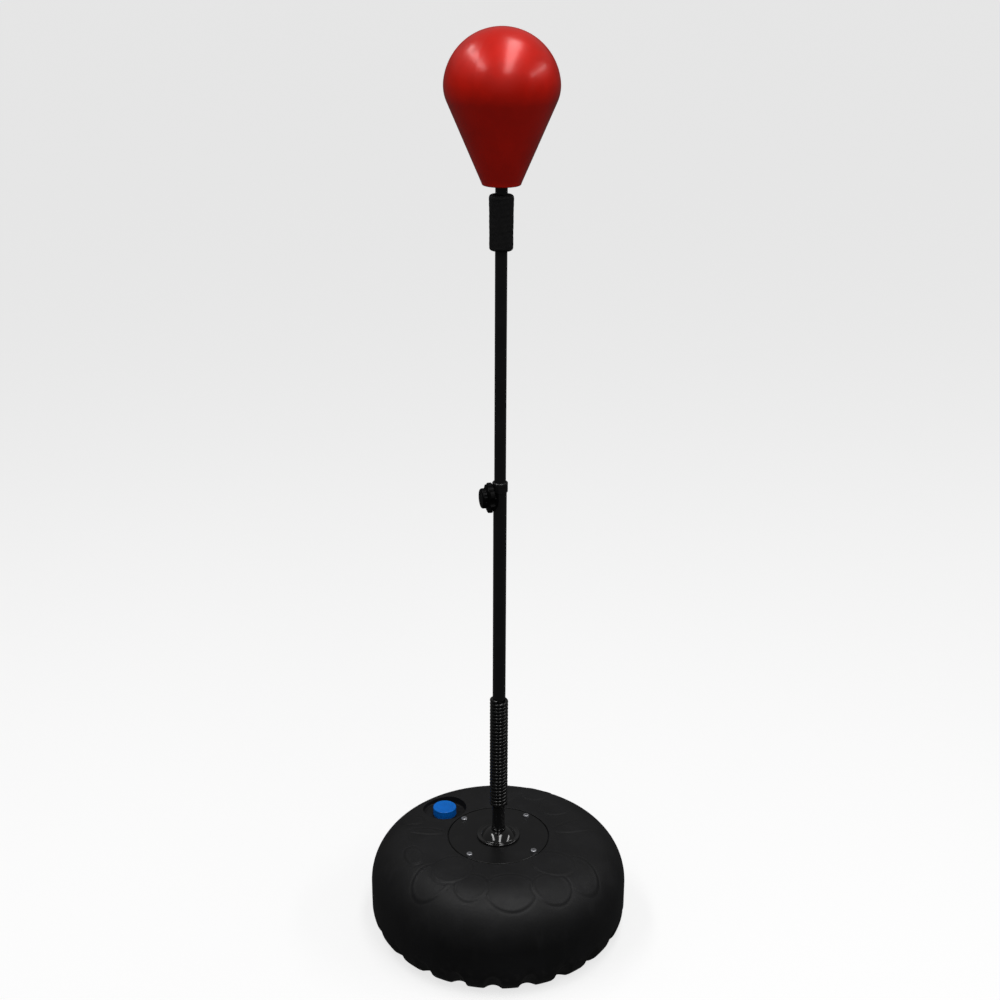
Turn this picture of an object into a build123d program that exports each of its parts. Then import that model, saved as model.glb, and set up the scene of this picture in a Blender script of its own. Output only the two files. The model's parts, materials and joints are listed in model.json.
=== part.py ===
"""Free-standing reflex bag: a fillable tank base, a spring-mounted telescopic pole and an inflated ball.

Units are millimetres. The origin is on the floor under the pole, +Z runs up the pole, and +X runs to
the user's right when the user faces the bag. Every piece is written to parts/ as its own STEP file.
"""

import os
from math import atan2, cos, degrees, hypot, pi, radians, sin, sqrt, tan

from build123d import *

# ---------------------------------------------------------------- driving dimensions
# Tank base
TANK_RADIUS = 225.0
TANK_HEIGHT = 172.0
TANK_SHOULDER = 84.0  # radius of the rounded shoulder between the wall and the top
TANK_FOOT_INSET = 25.0  # how far the rounded lower body is drawn in at the floor
TANK_FOOT_HEIGHT = 46.0  # where that rounding leaves the wall
TANK_WALL = 4.0
SOLE_RECESS = 3.0  # the underside is hollowed by this much, so the base stands on a ring
SOLE_RING_WIDTH = 24.0
FLUTE_COUNT = 22
FLUTE_RADIUS = 18.0
FLUTE_DEPTH = 9.0  # depth of a flute at the floor
FLUTE_HEIGHT = 45.0  # where a flute runs out on the wall
FLUTE_TURN = -2.2  # turns the ring of flutes off its even start

# Plate that carries the pole
PLATE_RADIUS = 88.0
PLATE_THICKNESS = 3.0
PLATE_SEAT_GAP = 1.6  # ring gap round the plate
PLATE_SEAT_DROP = 0.3  # the plate's face lies this far under the tank's top
BOLT_CIRCLE_RADIUS = 79.0
BOLT_COUNT = 4
BOLT_ANGLE = 51.0  # direction of the first screw from +X
SCREW_RADIUS = 3.0
SCREW_LENGTH = 16.0
SCREW_HEAD_RADIUS = 5.6
SCREW_HEAD_HEIGHT = 3.4
INSERT_RADIUS = 4.3
INSERT_LENGTH = 14.0
INSERT_BOSS_WALL = 4.5

# Threaded socket and stub post
SOCKET_LENGTH = 55.0
SOCKET_WALL = 8.0
SOCKET_FLOOR_GAP = 12.0  # free depth of the well under the socket
WELL_GAP = 5.0
STUB_RADIUS = 11.0
STUB_THREAD_RADIUS = 10.0
STUB_THREAD_REACH = 48.0  # thread below the plate's underside
NUT_ACROSS_FLATS = 30.0
NUT_THICKNESS = 8.0
DOME_RADIUS = 38.0
DOME_LIP_WIDTH = 8.0
DOME_LIP_HEIGHT = 3.0
DOME_RISE = 15.0
DOME_NECK_HEIGHT = 4.0
DOME_NECK_WALL = 1.8
DOME_SHEET = 1.5

# Coil spring
SPRING_BOTTOM = 232.0
SPRING_LENGTH = 213.2
SPRING_WIRE = 6.4
SPRING_OUTER_RADIUS = 15.75
SPRING_COIL_GAP = 0.12
SPRING_GRIP = 40.0  # length of each plug inside the spring

# Telescopic pole
LOWER_TUBE_RADIUS = 11.0
POLE_GAP = 0.3  # between the two tubes
TUBE_WALL = 1.2
LOWER_TUBE_LENGTH = 389.0
UPPER_TUBE_LENGTH = 566.0
HEIGHT_TRAVEL = 280.0
PLUG_TUBE_DEPTH = 14.0
TRAVEL_MARGIN = 6.0  # left between the pole's end bush and the spring plug, fully lowered
END_BUSH_FLANGE = 3.0
END_BUSH_DEPTH = 18.0

# Collar at the top of the lower tube
COLLAR_LENGTH = 14.5
COLLAR_WALL = 1.6
COLLAR_LIP = 2.5
COLLAR_GROOVE_DEPTH = 0.7
COLLAR_GROOVE_WIDTH = 1.4
COLLAR_RIM = 6.0

# Clamp screw
CLAMP_DROP = 23.5  # clamp axis below the top of the lower tube
CLAMP_AZIMUTH = 195.0  # direction of the clamp screw from +X
STUD_RADIUS = 4.0
CLAMP_NUT_ACROSS_FLATS = 13.0
CLAMP_NUT_REACH = 7.0  # nut's outer face from the tube's surface
PAD_RADIUS = 3.6
PAD_THICKNESS = 1.4
KNOB_RADIUS = 25.0
KNOB_HUB_RADIUS = 16.5
KNOB_HUB_ROUND = 3.0
KNOB_DEPTH = 19.0
KNOB_RIM_WIDTH = 8.0
KNOB_RIM_SLOPE = 3.5  # depth of the slope from the rim down to the hub
KNOB_LOBES = 6
KNOB_SCALLOP_RADIUS = 9.0
KNOB_SCALLOP_DEPTH = 4.5
KNOB_RECESS_MARGIN = 3.0
KNOB_STUD_DEPTH = 9.0

# Foam sleeve and ball
SLEEVE_RADIUS_TOP = 19.2
SLEEVE_RADIUS_BOTTOM = 18.4
SLEEVE_LENGTH = 85.0
SLEEVE_ROUND = 3.0
BALL_NECK_GAP = 14.0  # bare pole between the sleeve and the ball
BALL_RADIUS = 87.5
BALL_HEIGHT = 229.0
BALL_MOUTH_RADIUS = 29.0
BALL_CONE_ANGLE = 23.5  # slope of the lower cone from the vertical
BALL_CHEEK_RADIUS = 58.0  # rounds the cone into the sphere
BALL_WALL = 3.0
BALL_BASE_WALL = 4.0
BALL_MOUTH_ROUND = 2.5
BALL_SOCKET_RADIUS = 20.0
BALL_SOCKET_LENGTH = 52.0
BALL_SOCKET_FLANGE = 5.0
BALL_SOCKET_FLANGE_THICKNESS = 4.0
TOP_STUD_RADIUS = 8.0
TOP_STUD_LENGTH = 44.0
TOP_PLUG_DEPTH = 30.0
VALVE_RADIUS = 5.0
VALVE_LENGTH = 14.0
VALVE_NEEDLE_RADIUS = 0.9
VALVE_HEIGHT = 62.0  # up the ball from its mouth
VALVE_AZIMUTH = 90.0

# Filler
FILLER_DISTANCE = 133.0
FILLER_AZIMUTH = 137.5
FILLER_RECESS_RADIUS = 39.5
FILLER_RECESS_DEPTH = 15.0
NECK_BORE_RADIUS = 13.0
NECK_WALL = 4.0
NECK_HEIGHT = 11.0
CAP_RADIUS = 21.0
CAP_TOP = 3.0
CAP_FLOOR_GAP = 1.0
GASKET_THICKNESS = 2.0
GASKET_WIDTH = 5.0

# Clearances
PRESS_GAP = 0.05  # pieces bonded, welded or pressed together
THREAD_GAP = 0.15
SLIDE_GAP = 0.2
CAP_GAP = 0.4
SPRING_GAP = 0.3

# ---------------------------------------------------------------- derived levels and places
seat_level = TANK_HEIGHT - PLATE_SEAT_DROP - PLATE_THICKNESS
plate_top = seat_level + PLATE_THICKNESS
seat_radius = PLATE_RADIUS + PLATE_SEAT_GAP
socket_radius = STUB_THREAD_RADIUS + THREAD_GAP + SOCKET_WALL
well_radius = socket_radius + WELL_GAP
well_floor = seat_level - SOCKET_LENGTH - SOCKET_FLOOR_GAP
boss_radius = INSERT_RADIUS + INSERT_BOSS_WALL
flute_inset = TANK_FOOT_INSET + FLUTE_DEPTH
flute_tilt = degrees(atan2(flute_inset, FLUTE_HEIGHT))

spring_top = SPRING_BOTTOM + SPRING_LENGTH
spring_mean_radius = SPRING_OUTER_RADIUS - SPRING_WIRE / 2
spring_bore = SPRING_OUTER_RADIUS - SPRING_WIRE
spring_pitch = SPRING_WIRE + SPRING_COIL_GAP
plug_radius = spring_bore - SPRING_GAP

lower_bore = LOWER_TUBE_RADIUS - TUBE_WALL
upper_tube_radius = lower_bore - POLE_GAP
upper_bore = upper_tube_radius - TUBE_WALL
lower_tube_top = spring_top + LOWER_TUBE_LENGTH
pole_foot = spring_top + PLUG_TUBE_DEPTH + TRAVEL_MARGIN + HEIGHT_TRAVEL
upper_tube_bottom = pole_foot + END_BUSH_FLANGE
upper_tube_top = upper_tube_bottom + UPPER_TUBE_LENGTH

clamp_level = lower_tube_top - CLAMP_DROP
clamp_plane = Plane(
    origin=(0, 0, clamp_level),
    x_dir=(-sin(radians(CLAMP_AZIMUTH)), cos(radians(CLAMP_AZIMUTH)), 0),
    z_dir=(cos(radians(CLAMP_AZIMUTH)), sin(radians(CLAMP_AZIMUTH)), 0),
)
collar_radius = LOWER_TUBE_RADIUS + PRESS_GAP + COLLAR_WALL
pad_face = upper_tube_radius + PRESS_GAP
stud_start = pad_face + PAD_THICKNESS + PRESS_GAP
clamp_nut_face = LOWER_TUBE_RADIUS + CLAMP_NUT_REACH
knob_start = collar_radius + 0.75
knob_face = knob_start + KNOB_DEPTH
clamp_nut_corner = CLAMP_NUT_ACROSS_FLATS / sqrt(3)
knob_recess_radius = clamp_nut_corner + KNOB_RECESS_MARGIN
knob_recess_end = clamp_nut_face + KNOB_RECESS_MARGIN / 2

ball_bottom = upper_tube_top - BALL_BASE_WALL / 2
ball_top = ball_bottom + BALL_HEIGHT
sleeve_top = ball_bottom - BALL_NECK_GAP
sleeve_bottom = sleeve_top - SLEEVE_LENGTH

# the air valve stands square to the ball's cone
valve_slope = radians(BALL_CONE_ANGLE)
valve_r = BALL_MOUTH_RADIUS + VALVE_HEIGHT * tan(valve_slope)
valve_plane = Plane(
    origin=(
        valve_r * cos(radians(VALVE_AZIMUTH)),
        valve_r * sin(radians(VALVE_AZIMUTH)),
        ball_bottom + VALVE_HEIGHT,
    ),
    z_dir=(
        cos(valve_slope) * cos(radians(VALVE_AZIMUTH)),
        cos(valve_slope) * sin(radians(VALVE_AZIMUTH)),
        -sin(valve_slope),
    ),
)

filler_x = FILLER_DISTANCE * cos(radians(FILLER_AZIMUTH))
filler_y = FILLER_DISTANCE * sin(radians(FILLER_AZIMUTH))
recess_floor = TANK_HEIGHT - FILLER_RECESS_DEPTH
neck_radius = NECK_BORE_RADIUS + NECK_WALL
neck_top = recess_floor + NECK_HEIGHT
cap_bore = neck_radius + CAP_GAP
gasket_top = neck_top + PRESS_GAP + GASKET_THICKNESS
cap_top = gasket_top + PRESS_GAP + CAP_TOP


def save(builder, name):
    """Labels a finished piece and writes it to parts/."""
    builder.part.label = name
    export_step(builder.part, f"parts/{name}.step")


def ring(radius_out, radius_in, bottom, height):
    """Plain tube about the pole's axis, as a builder."""
    with BuildPart() as tube:
        with BuildSketch(Plane.XY.offset(bottom)):
            Circle(radius_out)
            Circle(radius_in, mode=Mode.SUBTRACT)
        extrude(amount=height)
    return tube


# ---------------------------------------------------------------- tank base
def tank_outer_profile():
    """Half section of the tank's outside: flat top, quarter-round shoulder, wall, drawn-in foot."""
    wall_top = TANK_HEIGHT - TANK_SHOULDER
    flat = TANK_RADIUS - TANK_SHOULDER
    foot = TANK_RADIUS - TANK_FOOT_INSET
    foot_round = (TANK_FOOT_HEIGHT**2 + TANK_FOOT_INSET**2) / (2 * TANK_FOOT_INSET)
    with BuildSketch(Plane.XZ) as section:
        with BuildLine():
            Line((0, 0), (foot, 0))
            RadiusArc((foot, 0), (TANK_RADIUS, TANK_FOOT_HEIGHT), -foot_round)
            Line((TANK_RADIUS, TANK_FOOT_HEIGHT), (TANK_RADIUS, wall_top))
            RadiusArc((TANK_RADIUS, wall_top), (flat, TANK_HEIGHT), -TANK_SHOULDER)
            Polyline((flat, TANK_HEIGHT), (0, TANK_HEIGHT), (0, 0))
        make_face()
    return section.sketch


def tank_cavity_profile():
    """Half section of the space inside: the outside less the wall, narrowed behind the flutes."""
    wall_top = TANK_HEIGHT - TANK_SHOULDER
    flat = TANK_RADIUS - TANK_SHOULDER
    inner = TANK_RADIUS - TANK_WALL
    floor = SOLE_RECESS + TANK_WALL
    foot = TANK_RADIUS - flute_inset - 1.5 * TANK_WALL
    roof = TANK_HEIGHT - TANK_WALL
    behind_flutes = min(TANK_FOOT_HEIGHT + TANK_WALL, wall_top)
    with BuildSketch(Plane.XZ) as section:
        with BuildLine():
            Polyline((0, floor), (foot, floor), (inner, behind_flutes), (inner, wall_top))
            RadiusArc((inner, wall_top), (flat, roof), TANK_WALL - TANK_SHOULDER)
            Polyline((flat, roof), (0, roof), (0, floor))
        make_face()
    return section.sketch


def make_base_tank():
    """Hollow moulded tank with its plate seat, centre well, insert bosses, filler recess and neck."""
    filler_spot = Plane((filler_x, filler_y, 0))
    outside = tank_outer_profile()
    inside = tank_cavity_profile()
    with BuildPart() as cavity:
        revolve(inside, axis=Axis.Z)
        # material that hangs from the top: plate seat, well, bosses and filler recess
        with Locations((0, 0, TANK_HEIGHT)):
            Cylinder(
                seat_radius + TANK_WALL,
                TANK_HEIGHT - seat_level + TANK_WALL,
                align=(Align.CENTER, Align.CENTER, Align.MAX),
                mode=Mode.SUBTRACT,
            )
            Cylinder(
                well_radius + TANK_WALL,
                TANK_HEIGHT - well_floor + TANK_WALL,
                align=(Align.CENTER, Align.CENTER, Align.MAX),
                mode=Mode.SUBTRACT,
            )
        with Locations(Plane.XY.offset(seat_level)):
            with PolarLocations(BOLT_CIRCLE_RADIUS, BOLT_COUNT, start_angle=BOLT_ANGLE):
                Cylinder(
                    boss_radius,
                    INSERT_LENGTH + TANK_WALL,
                    align=(Align.CENTER, Align.CENTER, Align.MAX),
                    mode=Mode.SUBTRACT,
                )
        with Locations((filler_x, filler_y, TANK_HEIGHT)):
            Cylinder(
                FILLER_RECESS_RADIUS + TANK_WALL,
                FILLER_RECESS_DEPTH + TANK_WALL,
                align=(Align.CENTER, Align.CENTER, Align.MAX),
                mode=Mode.SUBTRACT,
            )

    with BuildPart() as tank:
        revolve(outside, axis=Axis.Z)
        # flutes round the foot: leaning cylinders that run out on the wall
        flute_x = TANK_RADIUS - flute_inset + FLUTE_RADIUS / cos(radians(flute_tilt))
        with PolarLocations(0, FLUTE_COUNT, start_angle=180 / FLUTE_COUNT + FLUTE_TURN):
            with Locations(Location((flute_x, 0, 0), (0, flute_tilt, 0))):
                Cylinder(FLUTE_RADIUS, 4 * FLUTE_HEIGHT, mode=Mode.SUBTRACT)
        # hollow underside, plate seat and well
        sole_radius = TANK_RADIUS - TANK_FOOT_INSET - SOLE_RING_WIDTH
        Cylinder(
            sole_radius,
            SOLE_RECESS,
            align=(Align.CENTER, Align.CENTER, Align.MIN),
            mode=Mode.SUBTRACT,
        )
        with Locations((0, 0, TANK_HEIGHT)):
            Cylinder(
                seat_radius,
                TANK_HEIGHT - seat_level,
                align=(Align.CENTER, Align.CENTER, Align.MAX),
                mode=Mode.SUBTRACT,
            )
            Cylinder(
                well_radius,
                TANK_HEIGHT - well_floor,
                align=(Align.CENTER, Align.CENTER, Align.MAX),
                mode=Mode.SUBTRACT,
            )
        add(cavity.part, mode=Mode.SUBTRACT)
        with Locations(Plane.XY.offset(seat_level)):
            with PolarLocations(BOLT_CIRCLE_RADIUS, BOLT_COUNT, start_angle=BOLT_ANGLE):
                Hole(INSERT_RADIUS + PRESS_GAP, depth=INSERT_LENGTH + PRESS_GAP)
        # filler recess, then the neck that stands in it, then the bore into the tank
        with BuildSketch(filler_spot.offset(TANK_HEIGHT)):
            Circle(FILLER_RECESS_RADIUS)
            Circle(neck_radius, mode=Mode.SUBTRACT)
        extrude(amount=-FILLER_RECESS_DEPTH, mode=Mode.SUBTRACT)
        with BuildSketch(filler_spot.offset(TANK_HEIGHT)):
            Circle(neck_radius)
        extrude(amount=neck_top - TANK_HEIGHT, mode=Mode.SUBTRACT)
        with BuildSketch(filler_spot.offset(TANK_HEIGHT)):
            Circle(NECK_BORE_RADIUS)
        extrude(amount=-(FILLER_RECESS_DEPTH + 2 * TANK_WALL), mode=Mode.SUBTRACT)
    save(tank, "base_tank")


def make_threaded_inserts():
    """Brass inserts moulded into the tank for the plate screws."""
    with BuildPart() as inserts:
        with Locations(Plane.XY.offset(seat_level)):
            with PolarLocations(BOLT_CIRCLE_RADIUS, BOLT_COUNT, start_angle=BOLT_ANGLE):
                Cylinder(
                    INSERT_RADIUS,
                    INSERT_LENGTH,
                    align=(Align.CENTER, Align.CENTER, Align.MAX),
                )
        with Locations(Plane.XY.offset(seat_level)):
            with PolarLocations(BOLT_CIRCLE_RADIUS, BOLT_COUNT, start_angle=BOLT_ANGLE):
                Hole(SCREW_RADIUS + THREAD_GAP, depth=INSERT_LENGTH)
    save(inserts, "threaded_inserts")


def make_mounting_plate():
    """Round steel plate, screwed into its seat, that carries the pole."""
    with BuildPart() as plate:
        with BuildSketch(Plane.XY.offset(seat_level)):
            Circle(PLATE_RADIUS)
            Circle(STUB_THREAD_RADIUS + SLIDE_GAP, mode=Mode.SUBTRACT)
            with PolarLocations(BOLT_CIRCLE_RADIUS, BOLT_COUNT, start_angle=BOLT_ANGLE):
                Circle(SCREW_RADIUS + SLIDE_GAP, mode=Mode.SUBTRACT)
        extrude(amount=PLATE_THICKNESS)
        rim = plate.edges().filter_by(GeomType.CIRCLE).group_by(Axis.Z)[-1].sort_by(SortBy.RADIUS)[-1]
        chamfer(rim, PLATE_THICKNESS / 5)
    save(plate, "mounting_plate")


def make_plate_screws():
    """Pan-head screws with a cross recess."""
    shank = PLATE_THICKNESS + min(SCREW_LENGTH - PLATE_THICKNESS, INSERT_LENGTH - 1)
    with BuildPart() as screws:
        with Locations(Plane.XY.offset(plate_top)):
            with PolarLocations(BOLT_CIRCLE_RADIUS, BOLT_COUNT, start_angle=BOLT_ANGLE):
                Cylinder(
                    SCREW_HEAD_RADIUS,
                    SCREW_HEAD_HEIGHT,
                    align=(Align.CENTER, Align.CENTER, Align.MIN),
                )
                Cylinder(SCREW_RADIUS, shank, align=(Align.CENTER, Align.CENTER, Align.MAX))
        heads = screws.edges().filter_by(GeomType.CIRCLE).group_by(Axis.Z)[-1]
        fillet(heads, SCREW_HEAD_HEIGHT * 0.6)
        with Locations(Plane.XY.offset(plate_top + SCREW_HEAD_HEIGHT)):
            with PolarLocations(BOLT_CIRCLE_RADIUS, BOLT_COUNT, start_angle=BOLT_ANGLE):
                Box(SCREW_RADIUS * 1.8, 1.0, SCREW_HEAD_HEIGHT, mode=Mode.SUBTRACT)
                Box(1.0, SCREW_RADIUS * 1.8, SCREW_HEAD_HEIGHT, mode=Mode.SUBTRACT)
    save(screws, "plate_screws")


# ---------------------------------------------------------------- socket, stub and dome
def make_socket_boss():
    """Threaded bush welded under the plate; it hangs in the tank's well and takes the stub post."""
    boss = ring(socket_radius, STUB_THREAD_RADIUS + THREAD_GAP, seat_level - SOCKET_LENGTH, SOCKET_LENGTH)
    save(boss, "socket_boss")


def make_stub_post():
    """Turned steel post: thread, body, and the spigot that the spring is wound onto."""
    shoulder = plate_top + NUT_THICKNESS + 1
    with BuildPart() as stub:
        with BuildSketch(Plane.XY.offset(seat_level - STUB_THREAD_REACH)):
            Circle(STUB_THREAD_RADIUS)
        extrude(amount=STUB_THREAD_REACH + shoulder - seat_level)
        with BuildSketch(Plane.XY.offset(shoulder)):
            Circle(STUB_RADIUS)
        extrude(amount=SPRING_BOTTOM - shoulder)
        with BuildSketch(Plane.XY.offset(SPRING_BOTTOM)):
            Circle(plug_radius)
        extrude(amount=SPRING_GRIP)
        ends = stub.edges().filter_by(GeomType.CIRCLE)
        chamfer([ends.sort_by(Axis.Z)[0], ends.sort_by(Axis.Z)[-1]], 1.2)
    save(stub, "stub_post")


def make_jam_nut():
    """Hexagon nut that locks the stub post against the plate, under the dome."""
    with BuildPart() as nut:
        with BuildSketch(Plane.XY.offset(plate_top)):
            RegularPolygon(NUT_ACROSS_FLATS / 2, 6, major_radius=False)
            Circle(STUB_THREAD_RADIUS + THREAD_GAP, mode=Mode.SUBTRACT)
        extrude(amount=NUT_THICKNESS)
    save(nut, "jam_nut")


def make_dome_cover():
    """Pressed steel bell: a neck round the post, a shallow dome and a rolled lip on the plate."""
    bore = STUB_RADIUS + SLIDE_GAP
    neck = bore + DOME_NECK_WALL
    dome_edge = DOME_RADIUS - DOME_LIP_WIDTH
    lip_top = plate_top + DOME_LIP_HEIGHT
    crown = lip_top + DOME_RISE - DOME_NECK_HEIGHT
    with BuildPart() as dome:
        with BuildSketch(Plane.XZ):
            with BuildLine():
                Polyline((bore, crown + DOME_NECK_HEIGHT), (neck, crown + DOME_NECK_HEIGHT), (neck, crown))
                ThreePointArc(
                    (neck, crown),
                    ((neck + dome_edge) / 2, crown - 0.3 * (crown - lip_top)),
                    (dome_edge, lip_top),
                )
                Polyline(
                    (dome_edge, lip_top),
                    (DOME_RADIUS, lip_top),
                    (DOME_RADIUS, plate_top),
                    (DOME_RADIUS - DOME_SHEET, plate_top),
                    (DOME_RADIUS - DOME_SHEET, lip_top - DOME_SHEET),
                    (dome_edge, lip_top - DOME_SHEET),
                )
                ThreePointArc(
                    (dome_edge, lip_top - DOME_SHEET),
                    ((neck + dome_edge) / 2, crown - 0.3 * (crown - lip_top) - DOME_SHEET),
                    (neck, crown - DOME_SHEET),
                )
                Polyline(
                    (neck, crown - DOME_SHEET),
                    (bore, crown - DOME_SHEET),
                    (bore, crown + DOME_NECK_HEIGHT),
                )
            make_face()
        revolve(axis=Axis.Z)
        lip = dome.edges().filter_by(GeomType.CIRCLE).group_by(SortBy.RADIUS)[-1].sort_by(Axis.Z)[-1]
        fillet(lip, DOME_SHEET * 0.9)
    save(dome, "dome_cover")


# ---------------------------------------------------------------- spring
def make_coil_spring():
    """Close-wound spring: one round wire swept along a helix."""
    wire_start = SPRING_BOTTOM + SPRING_WIRE / 2
    with BuildPart() as spring:
        with BuildLine(Plane.XY.offset(wire_start)):
            coil = Helix(spring_pitch, SPRING_LENGTH - SPRING_WIRE, spring_mean_radius)
        with BuildSketch(Plane(coil @ 0, z_dir=coil % 0)):
            Circle(SPRING_WIRE / 2)
        sweep(path=coil, is_frenet=True)
    save(spring, "coil_spring")


def make_upper_spring_plug():
    """Turned plug: its spigot sits in the spring and its head is welded into the lower tube."""
    with BuildPart() as plug:
        with BuildSketch(Plane.XY.offset(spring_top - SPRING_GRIP)):
            Circle(plug_radius)
        extrude(amount=SPRING_GRIP)
        with BuildSketch(Plane.XY.offset(spring_top)):
            Circle(lower_bore - PRESS_GAP)
        extrude(amount=PLUG_TUBE_DEPTH)
        ends = plug.edges().filter_by(GeomType.CIRCLE)
        chamfer([ends.sort_by(Axis.Z)[0], ends.sort_by(Axis.Z)[-1]], 1.0)
    save(plug, "upper_spring_plug")


# ---------------------------------------------------------------- lower tube and its collar
def make_lower_tube():
    """Outer tube of the pole, drilled for the clamp screw."""
    with BuildPart() as tube:
        with BuildSketch(Plane.XY.offset(spring_top)):
            Circle(LOWER_TUBE_RADIUS)
            Circle(lower_bore, mode=Mode.SUBTRACT)
        extrude(amount=LOWER_TUBE_LENGTH)
        with BuildSketch(clamp_plane):
            Circle(STUD_RADIUS + SLIDE_GAP)
        extrude(amount=LOWER_TUBE_RADIUS + TUBE_WALL, mode=Mode.SUBTRACT)
    save(tube, "lower_tube")


def make_guide_bush():
    """Plastic collar over the end of the lower tube; its lip guides the upper tube."""
    lip_radius = upper_tube_radius + SLIDE_GAP
    tube_radius = LOWER_TUBE_RADIUS + PRESS_GAP
    seat = lower_tube_top + PRESS_GAP
    foot = seat - COLLAR_LENGTH
    top = seat + COLLAR_LIP
    rim_foot = top - COLLAR_RIM
    groove_radius = collar_radius - COLLAR_GROOVE_DEPTH
    with BuildPart() as bush:
        with BuildSketch(Plane.XZ):
            with BuildLine():
                Polyline(
                    (lip_radius, top),
                    (collar_radius - 1, top),
                    (collar_radius, top - 1),
                    (collar_radius, rim_foot),
                    (groove_radius, rim_foot),
                    (groove_radius, rim_foot - COLLAR_GROOVE_WIDTH),
                    (collar_radius, rim_foot - COLLAR_GROOVE_WIDTH),
                    (collar_radius, foot + 1),
                    (collar_radius - 0.8, foot),
                    (tube_radius, foot),
                    (tube_radius, seat),
                    (lip_radius, seat),
                    close=True,
                )
            make_face()
        revolve(axis=Axis.Z)
        # the clamp nut passes under the collar, so the collar is notched where they would meet
        with BuildSketch(clamp_plane):
            Circle(clamp_nut_corner + SLIDE_GAP)
        extrude(amount=collar_radius + 1, mode=Mode.SUBTRACT)
    save(bush, "guide_bush")


def make_weld_nut():
    """Hexagon nut welded to the side of the lower tube for the clamp screw."""
    with BuildPart() as nut:
        with BuildSketch(clamp_plane):
            RegularPolygon(CLAMP_NUT_ACROSS_FLATS / 2, 6, major_radius=False)
            Circle(STUD_RADIUS + THREAD_GAP, mode=Mode.SUBTRACT)
        extrude(amount=clamp_nut_face)
        with Locations((0, 0, clamp_level)):
            Cylinder(LOWER_TUBE_RADIUS + PRESS_GAP, 4 * CLAMP_NUT_ACROSS_FLATS, mode=Mode.SUBTRACT)
    save(nut, "weld_nut")


# ---------------------------------------------------------------- clamp screw
def make_pressure_pad():
    """Nylon pad at the tip of the clamp screw; it bears on the upper tube."""
    with BuildPart() as pad:
        with BuildSketch(clamp_plane.offset(pad_face)):
            Circle(PAD_RADIUS)
        extrude(amount=PAD_THICKNESS)
    save(pad, "pressure_pad")


def make_clamp_stud():
    """Threaded stud moulded into the knob."""
    with BuildPart() as stud:
        with BuildSketch(clamp_plane.offset(stud_start)):
            Circle(STUD_RADIUS)
        extrude(amount=knob_face - KNOB_DEPTH + KNOB_STUD_DEPTH + KNOB_RECESS_MARGIN - stud_start)
    save(stud, "clamp_stud")


def make_star_knob():
    """Knob with a six-lobed rim and a round hub, hollow underneath where it covers the weld nut."""
    stud_end = knob_face - KNOB_DEPTH + KNOB_STUD_DEPTH + KNOB_RECESS_MARGIN
    scallop_centre = KNOB_RADIUS + KNOB_SCALLOP_RADIUS - KNOB_SCALLOP_DEPTH
    rim_face = knob_start + KNOB_RIM_WIDTH
    with BuildPart() as knob:
        with BuildSketch(Plane.XZ):
            with BuildLine():
                Polyline(
                    (0, knob_face),
                    (0, knob_start),
                    (KNOB_RADIUS - 1, knob_start),
                    (KNOB_RADIUS, knob_start + 1),
                    (KNOB_RADIUS, rim_face - 1),
                    (KNOB_RADIUS - 1, rim_face),
                    (KNOB_HUB_RADIUS, rim_face + KNOB_RIM_SLOPE),
                    (KNOB_HUB_RADIUS, knob_face - KNOB_HUB_ROUND),
                )
                RadiusArc(
                    (KNOB_HUB_RADIUS, knob_face - KNOB_HUB_ROUND),
                    (KNOB_HUB_RADIUS - KNOB_HUB_ROUND, knob_face),
                    -KNOB_HUB_ROUND,
                )
                Line((KNOB_HUB_RADIUS - KNOB_HUB_ROUND, knob_face), (0, knob_face))
            make_face()
        revolve(axis=Axis.Z)
        with PolarLocations(scallop_centre, KNOB_LOBES):
            Cylinder(
                KNOB_SCALLOP_RADIUS,
                knob_face + 1,
                align=(Align.CENTER, Align.CENTER, Align.MIN),
                mode=Mode.SUBTRACT,
            )
        with Locations((0, 0, knob_start)):
            Cylinder(
                knob_recess_radius,
                knob_recess_end - knob_start,
                align=(Align.CENTER, Align.CENTER, Align.MIN),
                mode=Mode.SUBTRACT,
            )
            Cylinder(
                STUD_RADIUS + PRESS_GAP,
                stud_end + PRESS_GAP - knob_start,
                align=(Align.CENTER, Align.CENTER, Align.MIN),
                mode=Mode.SUBTRACT,
            )
    knob.part = clamp_plane.location * knob.part
    save(knob, "star_knob")


# ---------------------------------------------------------------- upper tube
def make_upper_tube():
    """Inner tube of the pole."""
    save(ring(upper_tube_radius, upper_bore, upper_tube_bottom, UPPER_TUBE_LENGTH), "upper_tube")


def make_tube_end_bush():
    """Plastic plug in the foot of the upper tube; its flange keeps the tube centred."""
    with BuildPart() as bush:
        with BuildSketch(Plane.XY.offset(pole_foot)):
            Circle(lower_bore - SLIDE_GAP)
            Circle(upper_bore - 3 * TUBE_WALL, mode=Mode.SUBTRACT)
        extrude(amount=END_BUSH_FLANGE)
        with BuildSketch(Plane.XY.offset(pole_foot + END_BUSH_FLANGE)):
            Circle(upper_bore - PRESS_GAP)
            Circle(upper_bore - 3 * TUBE_WALL, mode=Mode.SUBTRACT)
        extrude(amount=END_BUSH_DEPTH)
    save(bush, "tube_end_bush")


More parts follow.
